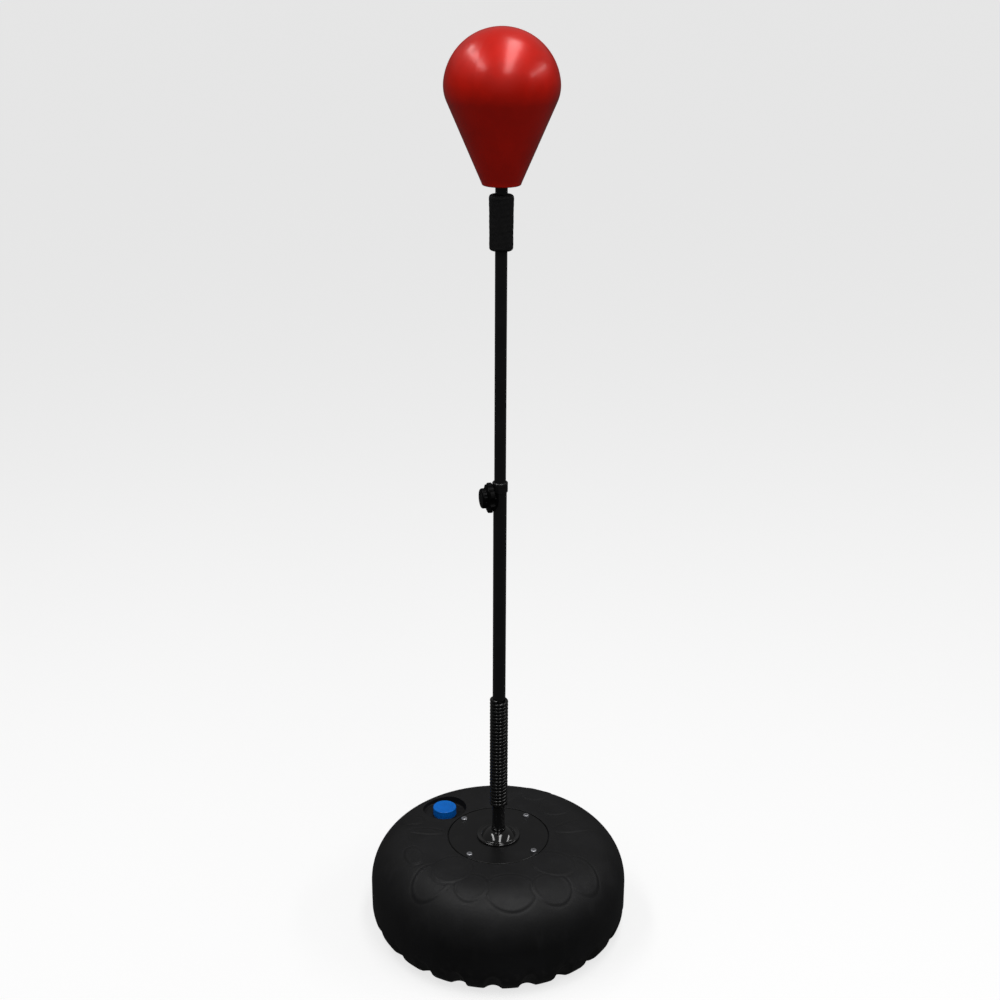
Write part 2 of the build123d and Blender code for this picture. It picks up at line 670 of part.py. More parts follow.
def make_hand_sleeve():
    """Foam sleeve that covers the pole under the ball."""
    with BuildPart() as sleeve:
        with BuildSketch(Plane.XZ):
            with BuildLine():
                Polyline(
                    (upper_tube_radius + PRESS_GAP, sleeve_bottom),
                    (SLEEVE_RADIUS_BOTTOM, sleeve_bottom),
                    (SLEEVE_RADIUS_TOP, sleeve_top),
                    (upper_tube_radius + PRESS_GAP, sleeve_top),
                    close=True,
                )
            make_face()
        revolve(axis=Axis.Z)
        circles = sleeve.edges().filter_by(GeomType.CIRCLE)
        outer = [circles.group_by(Axis.Z)[i].sort_by(SortBy.RADIUS)[-1] for i in (0, -1)]
        fillet(outer, SLEEVE_ROUND)
    save(sleeve, "hand_sleeve")


def make_pole_top_plug():
    """Plug welded into the top of the upper tube, with the stud that the ball screws onto."""
    with BuildPart() as plug:
        with BuildSketch(Plane.XY.offset(upper_tube_top - TOP_PLUG_DEPTH)):
            Circle(upper_bore - PRESS_GAP)
        extrude(amount=TOP_PLUG_DEPTH)
        with BuildSketch(Plane.XY.offset(upper_tube_top)):
            Circle(TOP_STUD_RADIUS)
        extrude(amount=TOP_STUD_LENGTH)
        chamfer(plug.edges().filter_by(GeomType.CIRCLE).sort_by(Axis.Z)[-1], 1.2)
    save(plug, "pole_top_plug")


# ---------------------------------------------------------------- ball
def ball_profile(inset, bottom):
    """Half section of the ball, its surface moved in by inset: sphere, rounded cheek, cone and flat base.

    The cheek is an arc tangent inside the sphere and to the cone's line.
    """
    slope = radians(BALL_CONE_ANGLE)
    centre = ball_top - BALL_RADIUS
    mouth_to_centre = centre - ball_bottom
    # distance of the cone's line from the sphere's centre, and the cheek's centre from it
    line_distance = (BALL_MOUTH_RADIUS + mouth_to_centre * tan(slope)) * cos(slope)
    across = line_distance - BALL_CHEEK_RADIUS
    along = sqrt((BALL_RADIUS - BALL_CHEEK_RADIUS) ** 2 - across**2)
    cheek_r = across * cos(slope) + along * sin(slope)
    cheek_z = centre - across * sin(slope) + along * cos(slope)
    reach = hypot(cheek_r, cheek_z - centre)
    sphere_r = BALL_RADIUS - inset
    cheek = BALL_CHEEK_RADIUS - inset
    join = (cheek_r / reach * sphere_r, centre + (cheek_z - centre) / reach * sphere_r)
    leave = (cheek_r + cheek * cos(slope), cheek_z - cheek * sin(slope))
    mouth = leave[0] - (leave[1] - bottom) * tan(slope)
    half_turn = (atan2(join[1] - cheek_z, join[0] - cheek_r) - slope) / 2
    middle = (cheek_r + cheek * cos(half_turn), cheek_z + cheek * sin(half_turn))
    rise = (atan2(join[1] - centre, join[0]) + pi / 2) / 2
    with BuildSketch(Plane.XZ) as section:
        with BuildLine():
            flank = (sphere_r * cos(rise), centre + sphere_r * sin(rise))
            ThreePointArc((0, centre + sphere_r), flank, join)
            ThreePointArc(join, middle, leave)
            Polyline(leave, (mouth, bottom), (0, bottom), (0, centre + sphere_r))
        make_face()
    return section.sketch


def make_ball_shell():
    """Hollow moulded ball with a flat base that the socket is bonded into."""
    outside = ball_profile(0, ball_bottom)
    inside = ball_profile(BALL_WALL, ball_bottom + BALL_BASE_WALL)
    with BuildPart() as hollow:
        revolve(inside, axis=Axis.Z)
    with BuildPart() as ball:
        revolve(outside, axis=Axis.Z)
        base_edge = ball.edges().filter_by(GeomType.CIRCLE).sort_by(Axis.Z)[0]
        fillet(base_edge, BALL_MOUTH_ROUND)
        add(hollow.part, mode=Mode.SUBTRACT)
        with BuildSketch(Plane.XY.offset(ball_bottom)):
            Circle(BALL_SOCKET_RADIUS + PRESS_GAP)
        extrude(amount=BALL_BASE_WALL + 1, mode=Mode.SUBTRACT)
        with BuildSketch(valve_plane.offset(-VALVE_LENGTH)):
            Circle(VALVE_RADIUS + PRESS_GAP)
        extrude(amount=2 * VALVE_LENGTH, mode=Mode.SUBTRACT)
    save(ball, "ball_shell")


def make_ball_socket():
    """Nylon socket in the mouth of the ball, threaded inside, with a flange over the ball's base."""
    flange_bottom = ball_bottom + BALL_BASE_WALL + PRESS_GAP
    with BuildPart() as socket:
        with BuildSketch(Plane.XY.offset(upper_tube_top + PRESS_GAP)):
            Circle(BALL_SOCKET_RADIUS)
        extrude(amount=BALL_SOCKET_LENGTH)
        with BuildSketch(Plane.XY.offset(flange_bottom)):
            Circle(BALL_SOCKET_RADIUS + BALL_SOCKET_FLANGE)
        extrude(amount=BALL_SOCKET_FLANGE_THICKNESS)
        with BuildSketch(Plane.XY.offset(upper_tube_top)):
            Circle(TOP_STUD_RADIUS + THREAD_GAP)
        extrude(amount=TOP_STUD_LENGTH + 1, mode=Mode.SUBTRACT)
    save(socket, "ball_socket")


def make_air_valve():
    """Rubber needle valve, flush with the ball's skin."""
    with BuildPart() as valve:
        with BuildSketch(valve_plane.offset(-VALVE_LENGTH)):
            Circle(VALVE_RADIUS)
        extrude(amount=VALVE_LENGTH)
        with BuildSketch(valve_plane.offset(-VALVE_LENGTH)):
            Circle(VALVE_NEEDLE_RADIUS)
        extrude(amount=VALVE_LENGTH, mode=Mode.SUBTRACT)
    save(valve, "air_valve")


# ---------------------------------------------------------------- filler
def make_cap_gasket():
    """Flat rubber ring between the neck and the cap."""
    with BuildPart() as gasket:
        with BuildSketch(Plane((filler_x, filler_y, neck_top + PRESS_GAP))):
            Circle(neck_radius)
            Circle(neck_radius - GASKET_WIDTH, mode=Mode.SUBTRACT)
        extrude(amount=GASKET_THICKNESS)
    save(gasket, "cap_gasket")


def make_filler_cap():
    """Screw cap over the neck."""
    skirt_bottom = recess_floor + CAP_FLOOR_GAP
    with BuildPart() as cap:
        with BuildSketch(Plane((filler_x, filler_y, skirt_bottom))):
            Circle(CAP_RADIUS)
        extrude(amount=cap_top - skirt_bottom)
        top_edge = cap.edges().filter_by(GeomType.CIRCLE).sort_by(Axis.Z)[-1]
        fillet(top_edge, CAP_TOP * 0.4)
        with BuildSketch(Plane((filler_x, filler_y, skirt_bottom))):
            Circle(cap_bore)
        extrude(amount=cap_top - CAP_TOP - skirt_bottom, mode=Mode.SUBTRACT)
    save(cap, "filler_cap")


def main():
    """Builds and writes every piece."""
    os.makedirs("parts", exist_ok=True)
    make_base_tank()
    make_threaded_inserts()
    make_mounting_plate()
    make_plate_screws()
    make_socket_boss()
    make_stub_post()
    make_jam_nut()
    make_dome_cover()
    make_coil_spring()
    make_upper_spring_plug()
    make_lower_tube()
    make_guide_bush()
    make_weld_nut()
    make_pressure_pad()
    make_clamp_stud()
    make_star_knob()
    make_upper_tube()
    make_tube_end_bush()
    make_hand_sleeve()
    make_pole_top_plug()
    make_ball_shell()
    make_ball_socket()
    make_air_valve()
    make_cap_gasket()
    make_filler_cap()


main()
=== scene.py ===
"""Looks of a free-standing reflex bag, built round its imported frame.

Lengths are metres, in the frame's own axes: +Z up the pole, the origin on the floor under it. Each
sub-assembly is a class that works out its surfaces with numpy and dresses them with a finish.
"""

import json
import logging
import math
from collections.abc import Callable, Sequence
from dataclasses import dataclass
from enum import Enum
from functools import cache

import bpy
import numpy as np
from mathutils import Matrix, Vector


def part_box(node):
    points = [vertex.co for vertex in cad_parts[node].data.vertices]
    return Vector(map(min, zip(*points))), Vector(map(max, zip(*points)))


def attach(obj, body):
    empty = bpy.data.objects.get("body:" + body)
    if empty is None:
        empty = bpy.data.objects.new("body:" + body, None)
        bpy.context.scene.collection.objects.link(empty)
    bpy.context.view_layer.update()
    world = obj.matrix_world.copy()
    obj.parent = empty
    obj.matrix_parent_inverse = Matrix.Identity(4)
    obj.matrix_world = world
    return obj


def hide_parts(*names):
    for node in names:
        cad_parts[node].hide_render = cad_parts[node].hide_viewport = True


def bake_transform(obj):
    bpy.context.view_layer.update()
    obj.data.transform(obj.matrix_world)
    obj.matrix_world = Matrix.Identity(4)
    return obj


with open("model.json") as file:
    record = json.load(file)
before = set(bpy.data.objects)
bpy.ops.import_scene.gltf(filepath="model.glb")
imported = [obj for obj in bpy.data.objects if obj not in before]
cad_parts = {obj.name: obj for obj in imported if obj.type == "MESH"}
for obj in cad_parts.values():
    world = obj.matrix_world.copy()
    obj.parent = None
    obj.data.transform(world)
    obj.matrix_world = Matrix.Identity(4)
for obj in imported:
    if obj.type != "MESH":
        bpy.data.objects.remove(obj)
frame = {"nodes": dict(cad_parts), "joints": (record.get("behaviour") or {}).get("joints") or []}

log = logging.getLogger("reflex_bag")
Array = np.ndarray
Colour = tuple[float, float, float]


# ------------------------------------------------------------------ surfaces
def smooth(low: float, high: float, x: Array) -> Array:
    """An S-shaped step: 0 below low, 1 above high, level at both ends."""
    t = np.clip((x - low) / (high - low), 0.0, 1.0)
    return t * t * (3.0 - 2.0 * t)


def soft_least(a: Array, b: Array, blend: float) -> Array:
    """The lesser of a and b, rounded where they cross: a parabola of the given width fills the corner."""
    h = np.clip(0.5 + 0.5 * (b - a) / blend, 0.0, 1.0)
    return b + (a - b) * h - blend * h * (1.0 - h)


def line(start: Sequence[float], end: Sequence[float], count: int) -> Array:
    """Evenly spaced points from start to end, both included."""
    return np.linspace(start, end, count)


def arc(centre: Sequence[float], radius: float, start: float, end: float, count: int) -> Array:
    """Points round a circle between two angles in degrees, both included."""
    turn = np.radians(np.linspace(start, end, count))
    return np.stack([centre[0] + radius * np.cos(turn), centre[1] + radius * np.sin(turn)], axis=1)


def chain(*runs: Array) -> Array:
    """Joins runs of points end to end and drops each point that repeats the one before it.

    Args:
        runs: points in order, one row each.

    Returns:
        All the points, one row each.
    """
    points = np.concatenate(runs)
    step = np.linalg.norm(np.diff(points, axis=0), axis=1)
    return points[np.concatenate([[True], step > 1e-7])]


def rounded(corners: Sequence[tuple[float, float, float]], steps: int = 5, closed: bool = True) -> Array:
    """A polygon with rounded corners.

    Each corner is swapped for the arc of its own radius that touches both neighbouring sides.

    Args:
        corners: distance from the axis, height and corner radius of each corner, in order.
        steps: points along each arc.
        closed: whether the last side runs back to the first corner.

    Returns:
        The outline's points, one row each.
    """
    place = np.array([c[:2] for c in corners])
    runs = []
    for i, (_, _, radius) in enumerate(corners):
        here = place[i]
        if radius <= 0 or (not closed and i in (0, len(corners) - 1)):
            runs.append(here[None])
            continue
        back = place[i - 1] - here
        on = place[(i + 1) % len(place)] - here
        back, on = back / np.linalg.norm(back), on / np.linalg.norm(on)
        half = math.acos(float(np.clip(back @ on, -1.0, 1.0))) / 2
        reach = radius / math.tan(half)
        middle = here + (back + on) / np.linalg.norm(back + on) * (radius / math.sin(half))
        first, last = here + back * reach - middle, here + on * reach - middle
        share = np.linspace(0.0, 1.0, steps)[:, None]
        swing = math.pi - 2 * half
        weight = np.sin((1 - share) * swing) * first + np.sin(share * swing) * last
        runs.append(middle + weight / math.sin(swing))
    return chain(*runs)


@dataclass
class Surface:
    """A grid of points that stands for one closed skin.

    Attributes:
        points: rows x columns x 3; the columns always join round.
        ring: whether the last row joins the first, as on a tube with walls.
        poles: points that close the first and the last row when ring is false.
    """

    points: Array
    ring: bool = False
    poles: tuple[Sequence[float], Sequence[float]] | None = None

    def faces(self) -> tuple[Array, Array, Array]:
        """Vertices, four-sided faces and three-sided faces, turned so that they enclose a positive volume.

        Returns:
            The vertices, the quads and the triangles.
        """
        rows, columns, _ = self.points.shape
        index = np.arange(rows * columns).reshape(rows, columns)
        below = index if self.ring else index[:-1]
        above = np.roll(index, -1, axis=0) if self.ring else index[1:]
        quads = np.stack([below, np.roll(below, -1, 1), np.roll(above, -1, 1), above], axis=-1).reshape(-1, 4)
        vertices = self.points.reshape(-1, 3)
        triangles = np.zeros((0, 3), int)
        if self.poles is not None:
            vertices = np.concatenate([vertices, np.array(self.poles, float)])
            first, last = index[0], index[-1]
            bottom = np.stack([np.roll(first, -1), first, np.full(columns, rows * columns)], axis=1)
            top = np.stack([last, np.roll(last, -1), np.full(columns, rows * columns + 1)], axis=1)
            triangles = np.concatenate([bottom, top])
        split = np.concatenate([quads[:, [0, 1, 2]], quads[:, [0, 2, 3]], triangles])
        a, b, c = (vertices[split[:, k]] for k in range(3))
        if np.einsum("ij,ij->", a, np.cross(b, c)) < 0:
            quads, triangles = quads[:, ::-1], triangles[:, ::-1]
        return vertices, quads, triangles


def turned(
    outline: Array,
    columns: int,
    shape: Callable[[Array, Array, Array], tuple[Array, Array]] | None = None,
    ring: bool = True,
) -> Surface:
    """Carries an outline round the Z axis: x is r cos(turn), y is r sin(turn), z is the height.

    Args:
        outline: distance from the axis and height of each point.
        columns: points in one turn.
        shape: changes the distances and heights, given them and the angle, as arrays.
        ring: true for an outline that closes on itself, false for one whose two ends lie on the axis.

    Returns:
        The surface, closed by poles when it isn't a ring.
    """
    turn = np.linspace(0.0, 2 * math.pi, columns, endpoint=False)[None]
    body = outline if ring else outline[1:-1]
    r = np.repeat(body[:, :1], columns, axis=1)
    z = np.repeat(body[:, 1:], columns, axis=1)
    if shape is not None:
        r, z = shape(r, z, np.repeat(turn, len(body), axis=0))
    points = np.stack([r * np.cos(turn), r * np.sin(turn), z], axis=-1)
    ends = None if ring else ((0.0, 0.0, outline[0, 1]), (0.0, 0.0, outline[-1, 1]))
    return Surface(points, ring, ends)


def moved(surface: Surface, matrix: Matrix) -> Surface:
    """The same surface carried by a rigid move.

    Args:
        surface: what is moved.
        matrix: a turn and a shift.

    Returns:
        The moved surface.
    """
    turn, shift = np.array(matrix.to_3x3()), np.array(matrix.translation)
    poles = None
    if surface.poles is not None:
        poles = tuple(turn @ np.array(p) + shift for p in surface.poles)
    return Surface(surface.points @ turn.T + shift, surface.ring, poles)


def make_object(name: str, surfaces: Sequence[Surface], sharp: float = 40.0) -> bpy.types.Object:
    """Puts surfaces into one mesh object at the origin.

    Args:
        name: the piece's name.
        surfaces: closed skins that don't cut each other.
        sharp: edges that bend by more than this, in degrees, are shaded as edges.

    Returns:
        The object, linked to the scene.
    """
    vertices, quads, triangles, count = [], [], [], 0
    for surface in surfaces:
        v, q, t = surface.faces()
        vertices.append(v)
        quads.append(q + count)
        triangles.append(t + count)
        count += len(v)
    all_vertices = np.concatenate(vertices)
    all_quads, all_triangles = np.concatenate(quads), np.concatenate(triangles)
    corners = np.concatenate([all_quads.ravel(), all_triangles.ravel()])
    sizes = np.concatenate([np.full(len(all_quads), 4), np.full(len(all_triangles), 3)])
    mesh = bpy.data.meshes.new(name)
    mesh.vertices.add(len(all_vertices))
    mesh.vertices.foreach_set("co", all_vertices.astype(np.float32).ravel())
    mesh.loops.add(len(corners))
    mesh.loops.foreach_set("vertex_index", corners.astype(np.int32))
    mesh.polygons.add(len(sizes))
    mesh.polygons.foreach_set("loop_start", np.concatenate([[0], np.cumsum(sizes)[:-1]]).astype(np.int32))
    mesh.update(calc_edges=True)
    mesh.validate()
    mesh.shade_smooth()
    mesh.set_sharp_from_angle(angle=math.radians(sharp))
    made = bpy.data.objects.new(name, mesh)
    bpy.context.scene.collection.objects.link(made)
    return made


# ------------------------------------------------------------------ shader arithmetic
class Value:
    """A number that varies over a surface; plain arithmetic on it adds Math nodes."""

    def __init__(self, graph: "Graph", socket: bpy.types.NodeSocket) -> None:
        """Wraps a socket of the graph's node tree."""
        self.graph = graph
        self.socket = socket

    def _math(self, operation: str, first: "Value | float", second: "Value | float") -> "Value":
        """One Math node on two values."""
        node = self.graph.node("ShaderNodeMath", {"operation": operation}, {0: first, 1: second})
        return Value(self.graph, node.outputs[0])

    def __add__(self, other: "Value | float") -> "Value":
        """self + other."""
        return self._math("ADD", self, other)

    __radd__ = __add__

    def __sub__(self, other: "Value | float") -> "Value":
        """self - other."""
        return self._math("SUBTRACT", self, other)

    def __rsub__(self, other: float) -> "Value":
        """other - self."""
        return self._math("SUBTRACT", other, self)

    def __mul__(self, other: "Value | float") -> "Value":
        """self * other."""
        return self._math("MULTIPLY", self, other)

    __rmul__ = __mul__

    def __pow__(self, other: float) -> "Value":
        """self to a power."""
        return self._math("POWER", self, other)

    def between(self, low: float, high: float) -> "Value":
        """0 where this is below low, 1 above high, with an S-shaped step between."""
        node = self.graph.node(
            "ShaderNodeMapRange", {"interpolation_type": "SMOOTHSTEP"},
            {"Value": self, "From Min": low, "From Max": high},
        )
        return Value(self.graph, node.outputs["Result"])


class Graph:
    """A node tree while it is put together."""

    def __init__(self, owner: bpy.types.Material | bpy.types.World) -> None:
        """Empties the owner's node tree.

        Args:
            owner: the material or world that the nodes belong to.
        """
        owner.use_nodes = True
        self.tree = owner.node_tree
        self.tree.nodes.clear()

    def node(self, kind: str, settings: dict | None = None, inputs: dict | None = None) -> bpy.types.Node:
        """Adds a node.

        Args:
            kind: the node's type.
            settings: attributes, set before any socket; "stops" are a colour ramp's places and colours.
            inputs: socket name or number to a value, a Value or a socket to link.

        Returns:
            The node.
        """
        made = self.tree.nodes.new(kind)
        for key, setting in (settings or {}).items():
            if key == "stops":
                self._set_stops(made.color_ramp, setting)
            else:
                setattr(made, key, setting)
        for key, given in (inputs or {}).items():
            self.feed(made.inputs[key], given)
        return made

    @staticmethod
    def _set_stops(ramp: bpy.types.ColorRamp, stops: Sequence[tuple[float, Colour]]) -> None:
        """Sets a colour ramp's stops, in order of place."""
        while len(ramp.elements) < len(stops):
            ramp.elements.new(1.0)
        for element, (where, colour) in zip(ramp.elements, stops):
            element.position = where
            element.color = (*colour, 1.0)

    def feed(self, socket: bpy.types.NodeSocket, given: object) -> None:
        """Links a Value or socket to an input, or sets the input to a constant."""
        given = given.socket if isinstance(given, Value) else given
        if isinstance(given, bpy.types.NodeSocket):
            self.tree.links.new(given, socket)
        elif isinstance(given, tuple) and socket.type == "RGBA":
            socket.default_value = (*given, 1.0)
        else:
            socket.default_value = given

    def mix(self, share: Value, first: object, second: object) -> bpy.types.NodeSocket:
        """A colour between two, first where share is 0 and second where it is 1.

        Args:
            share: how much of the second colour.
            first: a colour or a socket.
            second: a colour or a socket.

        Returns:
            The mixed colour's socket.
        """
        node = self.node("ShaderNodeMix", {"data_type": "RGBA"})
        self.feed(node.inputs["Factor"], share)
        colours = [s for s in node.inputs if s.type == "RGBA"]
        self.feed(colours[0], first)
        self.feed(colours[1], second)
        return next(s for s in node.outputs if s.type == "RGBA")


class Recipe(Graph):
    """One material while its nodes are put together."""

    def __init__(self, name: str) -> None:
        """Starts a material with a Principled shader and the piece's own coordinates.

        Args:
            name: the material's name.
        """
        self.material = bpy.data.materials.new(name)
        super().__init__(self.material)
        self.shader = self.node("ShaderNodeBsdfPrincipled")
        self.node("ShaderNodeOutputMaterial", inputs={"Surface": self.shader.outputs["BSDF"]})
        self.place = self.node("ShaderNodeTexCoord").outputs["Object"]

    def stretched(self, scale: Colour) -> bpy.types.NodeSocket:
        """The piece's coordinates, multiplied along each axis."""
        return self.node("ShaderNodeMapping", inputs={"Vector": self.place, "Scale": scale}).outputs[0]

    def noise(self, size: float, detail: float = 3.0, stretch: Colour | None = None) -> Value:
        """Cloudy noise with features about size across.

        Args:
            size: width of a feature in metres.
            detail: finer layers added.
            stretch: scale along each axis.

        Returns:
            The noise, 0 to 1.
        """
        where = self.place if stretch is None else self.stretched(stretch)
        settings = {"Vector": where, "Scale": 1.0 / size, "Detail": detail, "Roughness": 0.55}
        return Value(self, self.node("ShaderNodeTexNoise", inputs=settings).outputs["Fac"])

    def cells(self, size: float, feature: str = "F1", stretch: Colour | None = None) -> Value:
        """Distance to the nearest cell centre, or to the cell's edge, for cells about size across.

        Args:
            size: width of a cell in metres.
            feature: which distance is given.
            stretch: scale along each axis.

        Returns:
            The distance, in cell widths.
        """
        where = self.place if stretch is None else self.stretched(stretch)
        node = self.node("ShaderNodeTexVoronoi", {"feature": feature}, {"Vector": where, "Scale": 1.0 / size})
        return Value(self, node.outputs["Distance"])

    def height(self) -> Value:
        """Height above the floor."""
        return Value(self, self.node("ShaderNodeSeparateXYZ", inputs={0: self.place}).outputs["Z"])

    def bump(
        self, height: Value, depth: float, under: bpy.types.NodeSocket | None = None
    ) -> bpy.types.NodeSocket:
        """A normal that shows height, 0 to 1, as relief of the given depth, over another normal if given.

        Args:
            height: the relief.
            depth: its depth in metres.
            under: the normal that it is laid over.

        Returns:
            The normal's socket.
        """
        inputs = {"Height": height, "Distance": depth, "Strength": 1.0}
        if under is not None:
            inputs["Normal"] = under
        return self.node("ShaderNodeBump", inputs=inputs).outputs["Normal"]

    def done(self, **sockets: object) -> bpy.types.Material:
        """Sets the shader's sockets, named with underscores for spaces, and returns the material."""
        for key, given in sockets.items():
            self.feed(self.shader.inputs[key.replace("_", " ")], given)
        return self.material


def scaled(colour: Colour, factor: float) -> Colour:
    """A colour made lighter or darker."""
    return tuple(min(1.0, c * factor) for c in colour)


# ------------------------------------------------------------------ finishes
@dataclass(frozen=True)
class MouldedPlastic:
    """Moulded plastic: pebbled grain, cloudy tone, rubbed patches and a little dust low down."""

    name: str
    colour: Colour
    roughness: float = 0.42
    grain: float = 0.0009
    grain_depth: float = 0.00006
    rubbed: float = 0.12
    dust: float = 0.0
    specular: float = 0.5

    def material(self) -> bpy.types.Material:
        """Builds the material.

        Returns:
            The material.
        """
        recipe = Recipe(self.name)
        pebbles = recipe.cells(self.grain)
        clouds = recipe.noise(0.06)
        fine = recipe.noise(0.004, 4.0)
        rub = recipe.noise(0.03, 5.0, (1.0, 1.0, 0.35)).between(0.52, 0.72)
        base = recipe.mix(clouds.between(0.3, 0.7), scaled(self.colour, 0.82), scaled(self.colour, 1.2))
        base = recipe.mix(rub * 0.35, base, scaled(self.colour, 1.7))
        if self.dust > 0:
            low = 1.0 - recipe.height().between(0.0, 0.07)
            film = recipe.noise(0.012, 6.0).between(0.45, 0.75) * low * self.dust
            base = recipe.mix(film, base, (0.16, 0.15, 0.135))
        normal = recipe.bump(pebbles, self.grain_depth)
        normal = recipe.bump(recipe.noise(0.025, 2.0), 0.0004, normal)
        return recipe.done(
            Base_Color=base,
            Roughness=self.roughness - 0.06 + fine * 0.1 + rub * self.rubbed,
            Specular_IOR_Level=self.specular,
            Normal=normal,
        )


@dataclass(frozen=True)
class Enamel:
    """Paint on steel: orange-peel skin, faint wiped haze and dark or bright rubs."""

    name: str
    colour: Colour
    roughness: float = 0.12
    peel: float = 0.0022
    peel_depth: float = 0.00003
    haze: float = 0.1
    coat: float = 0.6
    specular: float = 0.5

    def material(self) -> bpy.types.Material:
        """Builds the material.

        Returns:
            The material.
        """
        recipe = Recipe(self.name)
        peel = recipe.noise(self.peel, 2.0)
        haze = recipe.noise(0.035, 5.0).between(0.45, 0.75)
        wiped = recipe.noise(0.0016, 3.0, (1.0, 1.0, 0.06)).between(0.6, 0.8)
        base = recipe.mix(haze * 0.6, self.colour, scaled(self.colour, 1.8))
        base = recipe.mix(wiped * 0.3, base, scaled(self.colour, 2.6))
        return recipe.done(
            Base_Color=base,
            Roughness=self.roughness + haze * self.haze + wiped * 0.06,
            Coat_Weight=(1.0 - haze * 0.3) * self.coat,
            Coat_Roughness=0.06,
            Specular_IOR_Level=self.specular,
            Normal=recipe.bump(peel, self.peel_depth),
        )


@dataclass(frozen=True)
class BareMetal:
    """Plated or turned metal: lathe lines, cloudy plating and a darker tarnish in patches."""

    name: str
    colour: Colour
    tarnish: Colour
    roughness: float = 0.3
    lines: float = 0.00035

    def material(self) -> bpy.types.Material:
        """Builds the material.

        Returns:
            The material.
        """
        recipe = Recipe(self.name)
        cut = recipe.noise(self.lines, 2.0, (0.08, 0.08, 1.0))
        plating = recipe.noise(0.004, 4.0)
        patches = recipe.noise(0.009, 5.0).between(0.5, 0.72)
        base = recipe.mix(plating.between(0.3, 0.7), scaled(self.colour, 0.88), self.colour)
        base = recipe.mix(patches * 0.5, base, self.tarnish)
        return recipe.done(
            Base_Color=base,
            Metallic=1.0 - patches * 0.15,
            Roughness=self.roughness + cut * 0.12 + patches * 0.15,
            Normal=recipe.bump(cut, 0.00002),
        )


@dataclass(frozen=True)
class FoamRubber:
    """Closed-cell foam: open skin pores with painted shade in them, over a soft lumpy surface, matt, with a
    grey bloom.
    """

    name: str
    colour: Colour
    roughness: float = 0.78

    def material(self) -> bpy.types.Material:
        """Builds the material.

        Returns:
            The material.
        """
        recipe = Recipe(self.name)
        pores = recipe.cells(0.0011).between(0.05, 0.45)
        lumps = recipe.noise(0.006, 4.0)
        bloom = recipe.noise(0.02, 5.0).between(0.45, 0.75)
        # Painted shade: each pore's middle is darkened to 0.45 of the colour, standing in for the shadow
        # inside the pore.
        base = recipe.mix(1.0 - pores, self.colour, scaled(self.colour, 0.45))
        base = recipe.mix(bloom * 0.4, base, scaled(self.colour, 2.2))
        normal = recipe.bump(lumps, 0.0006)
        return recipe.done(
            Base_Color=base,
            Roughness=self.roughness + bloom * 0.1 - pores * 0.06,
            Specular_IOR_Level=0.35,
            Normal=recipe.bump(pores, 0.00018, normal),
        )


@dataclass(frozen=True)
class InflatedVinyl:
    """Glossy stretched vinyl: slight ripple, fine leather print, scuffs from gloves."""

    name: str
    colour: Colour
    roughness: float = 0.3
    gleam: float = 0.35
    coat: float = 1.0

    def material(self) -> bpy.types.Material:
        """Builds the material.

        Returns:
            The material.
        """
        recipe = Recipe(self.name)
        tone = recipe.noise(0.05, 3.0)
        scuffs = recipe.noise(0.018, 6.0, (1.0, 1.0, 0.4)).between(0.58, 0.76)
        printed = recipe.cells(0.0016)
        base = recipe.mix(tone.between(0.3, 0.7), scaled(self.colour, 0.9), scaled(self.colour, 1.08))
        base = recipe.mix(scuffs * 0.25, base, scaled(self.colour, 0.7))
        normal = recipe.bump(recipe.noise(0.03, 1.0), 0.0003)
        return recipe.done(
            Base_Color=base,
            Metallic=self.gleam - scuffs * 0.1,
            Roughness=self.roughness + scuffs * 0.12,
            Coat_Weight=(1.0 - scuffs * 0.35) * self.coat,
            Coat_Roughness=0.2,
            Specular_IOR_Level=0.3,
            Normal=recipe.bump(printed, 0.00002, normal),
        )


@dataclass(frozen=True)
class SoftRubber:
    """Solid moulded rubber: matt, faintly chalky, with a fine pitted skin."""

    name: str
    colour: Colour
    roughness: float = 0.62

    def material(self) -> bpy.types.Material:
        """Builds the material.

        Returns:
            The material.
        """
        recipe = Recipe(self.name)
        pits = recipe.noise(0.0007, 4.0)
        chalk = recipe.noise(0.006, 5.0).between(0.5, 0.75)
        return recipe.done(
            Base_Color=recipe.mix(chalk * 0.5, self.colour, scaled(self.colour, 2.4)),
            Roughness=self.roughness + chalk * 0.15,
            Normal=recipe.bump(pits, 0.00006),
        )


Finish = MouldedPlastic | Enamel | BareMetal | FoamRubber | InflatedVinyl | SoftRubber


@cache
def mixed(finish: Finish) -> bpy.types.Material:
    """Builds a finish's material the first time that it is asked for."""
    return finish.material()


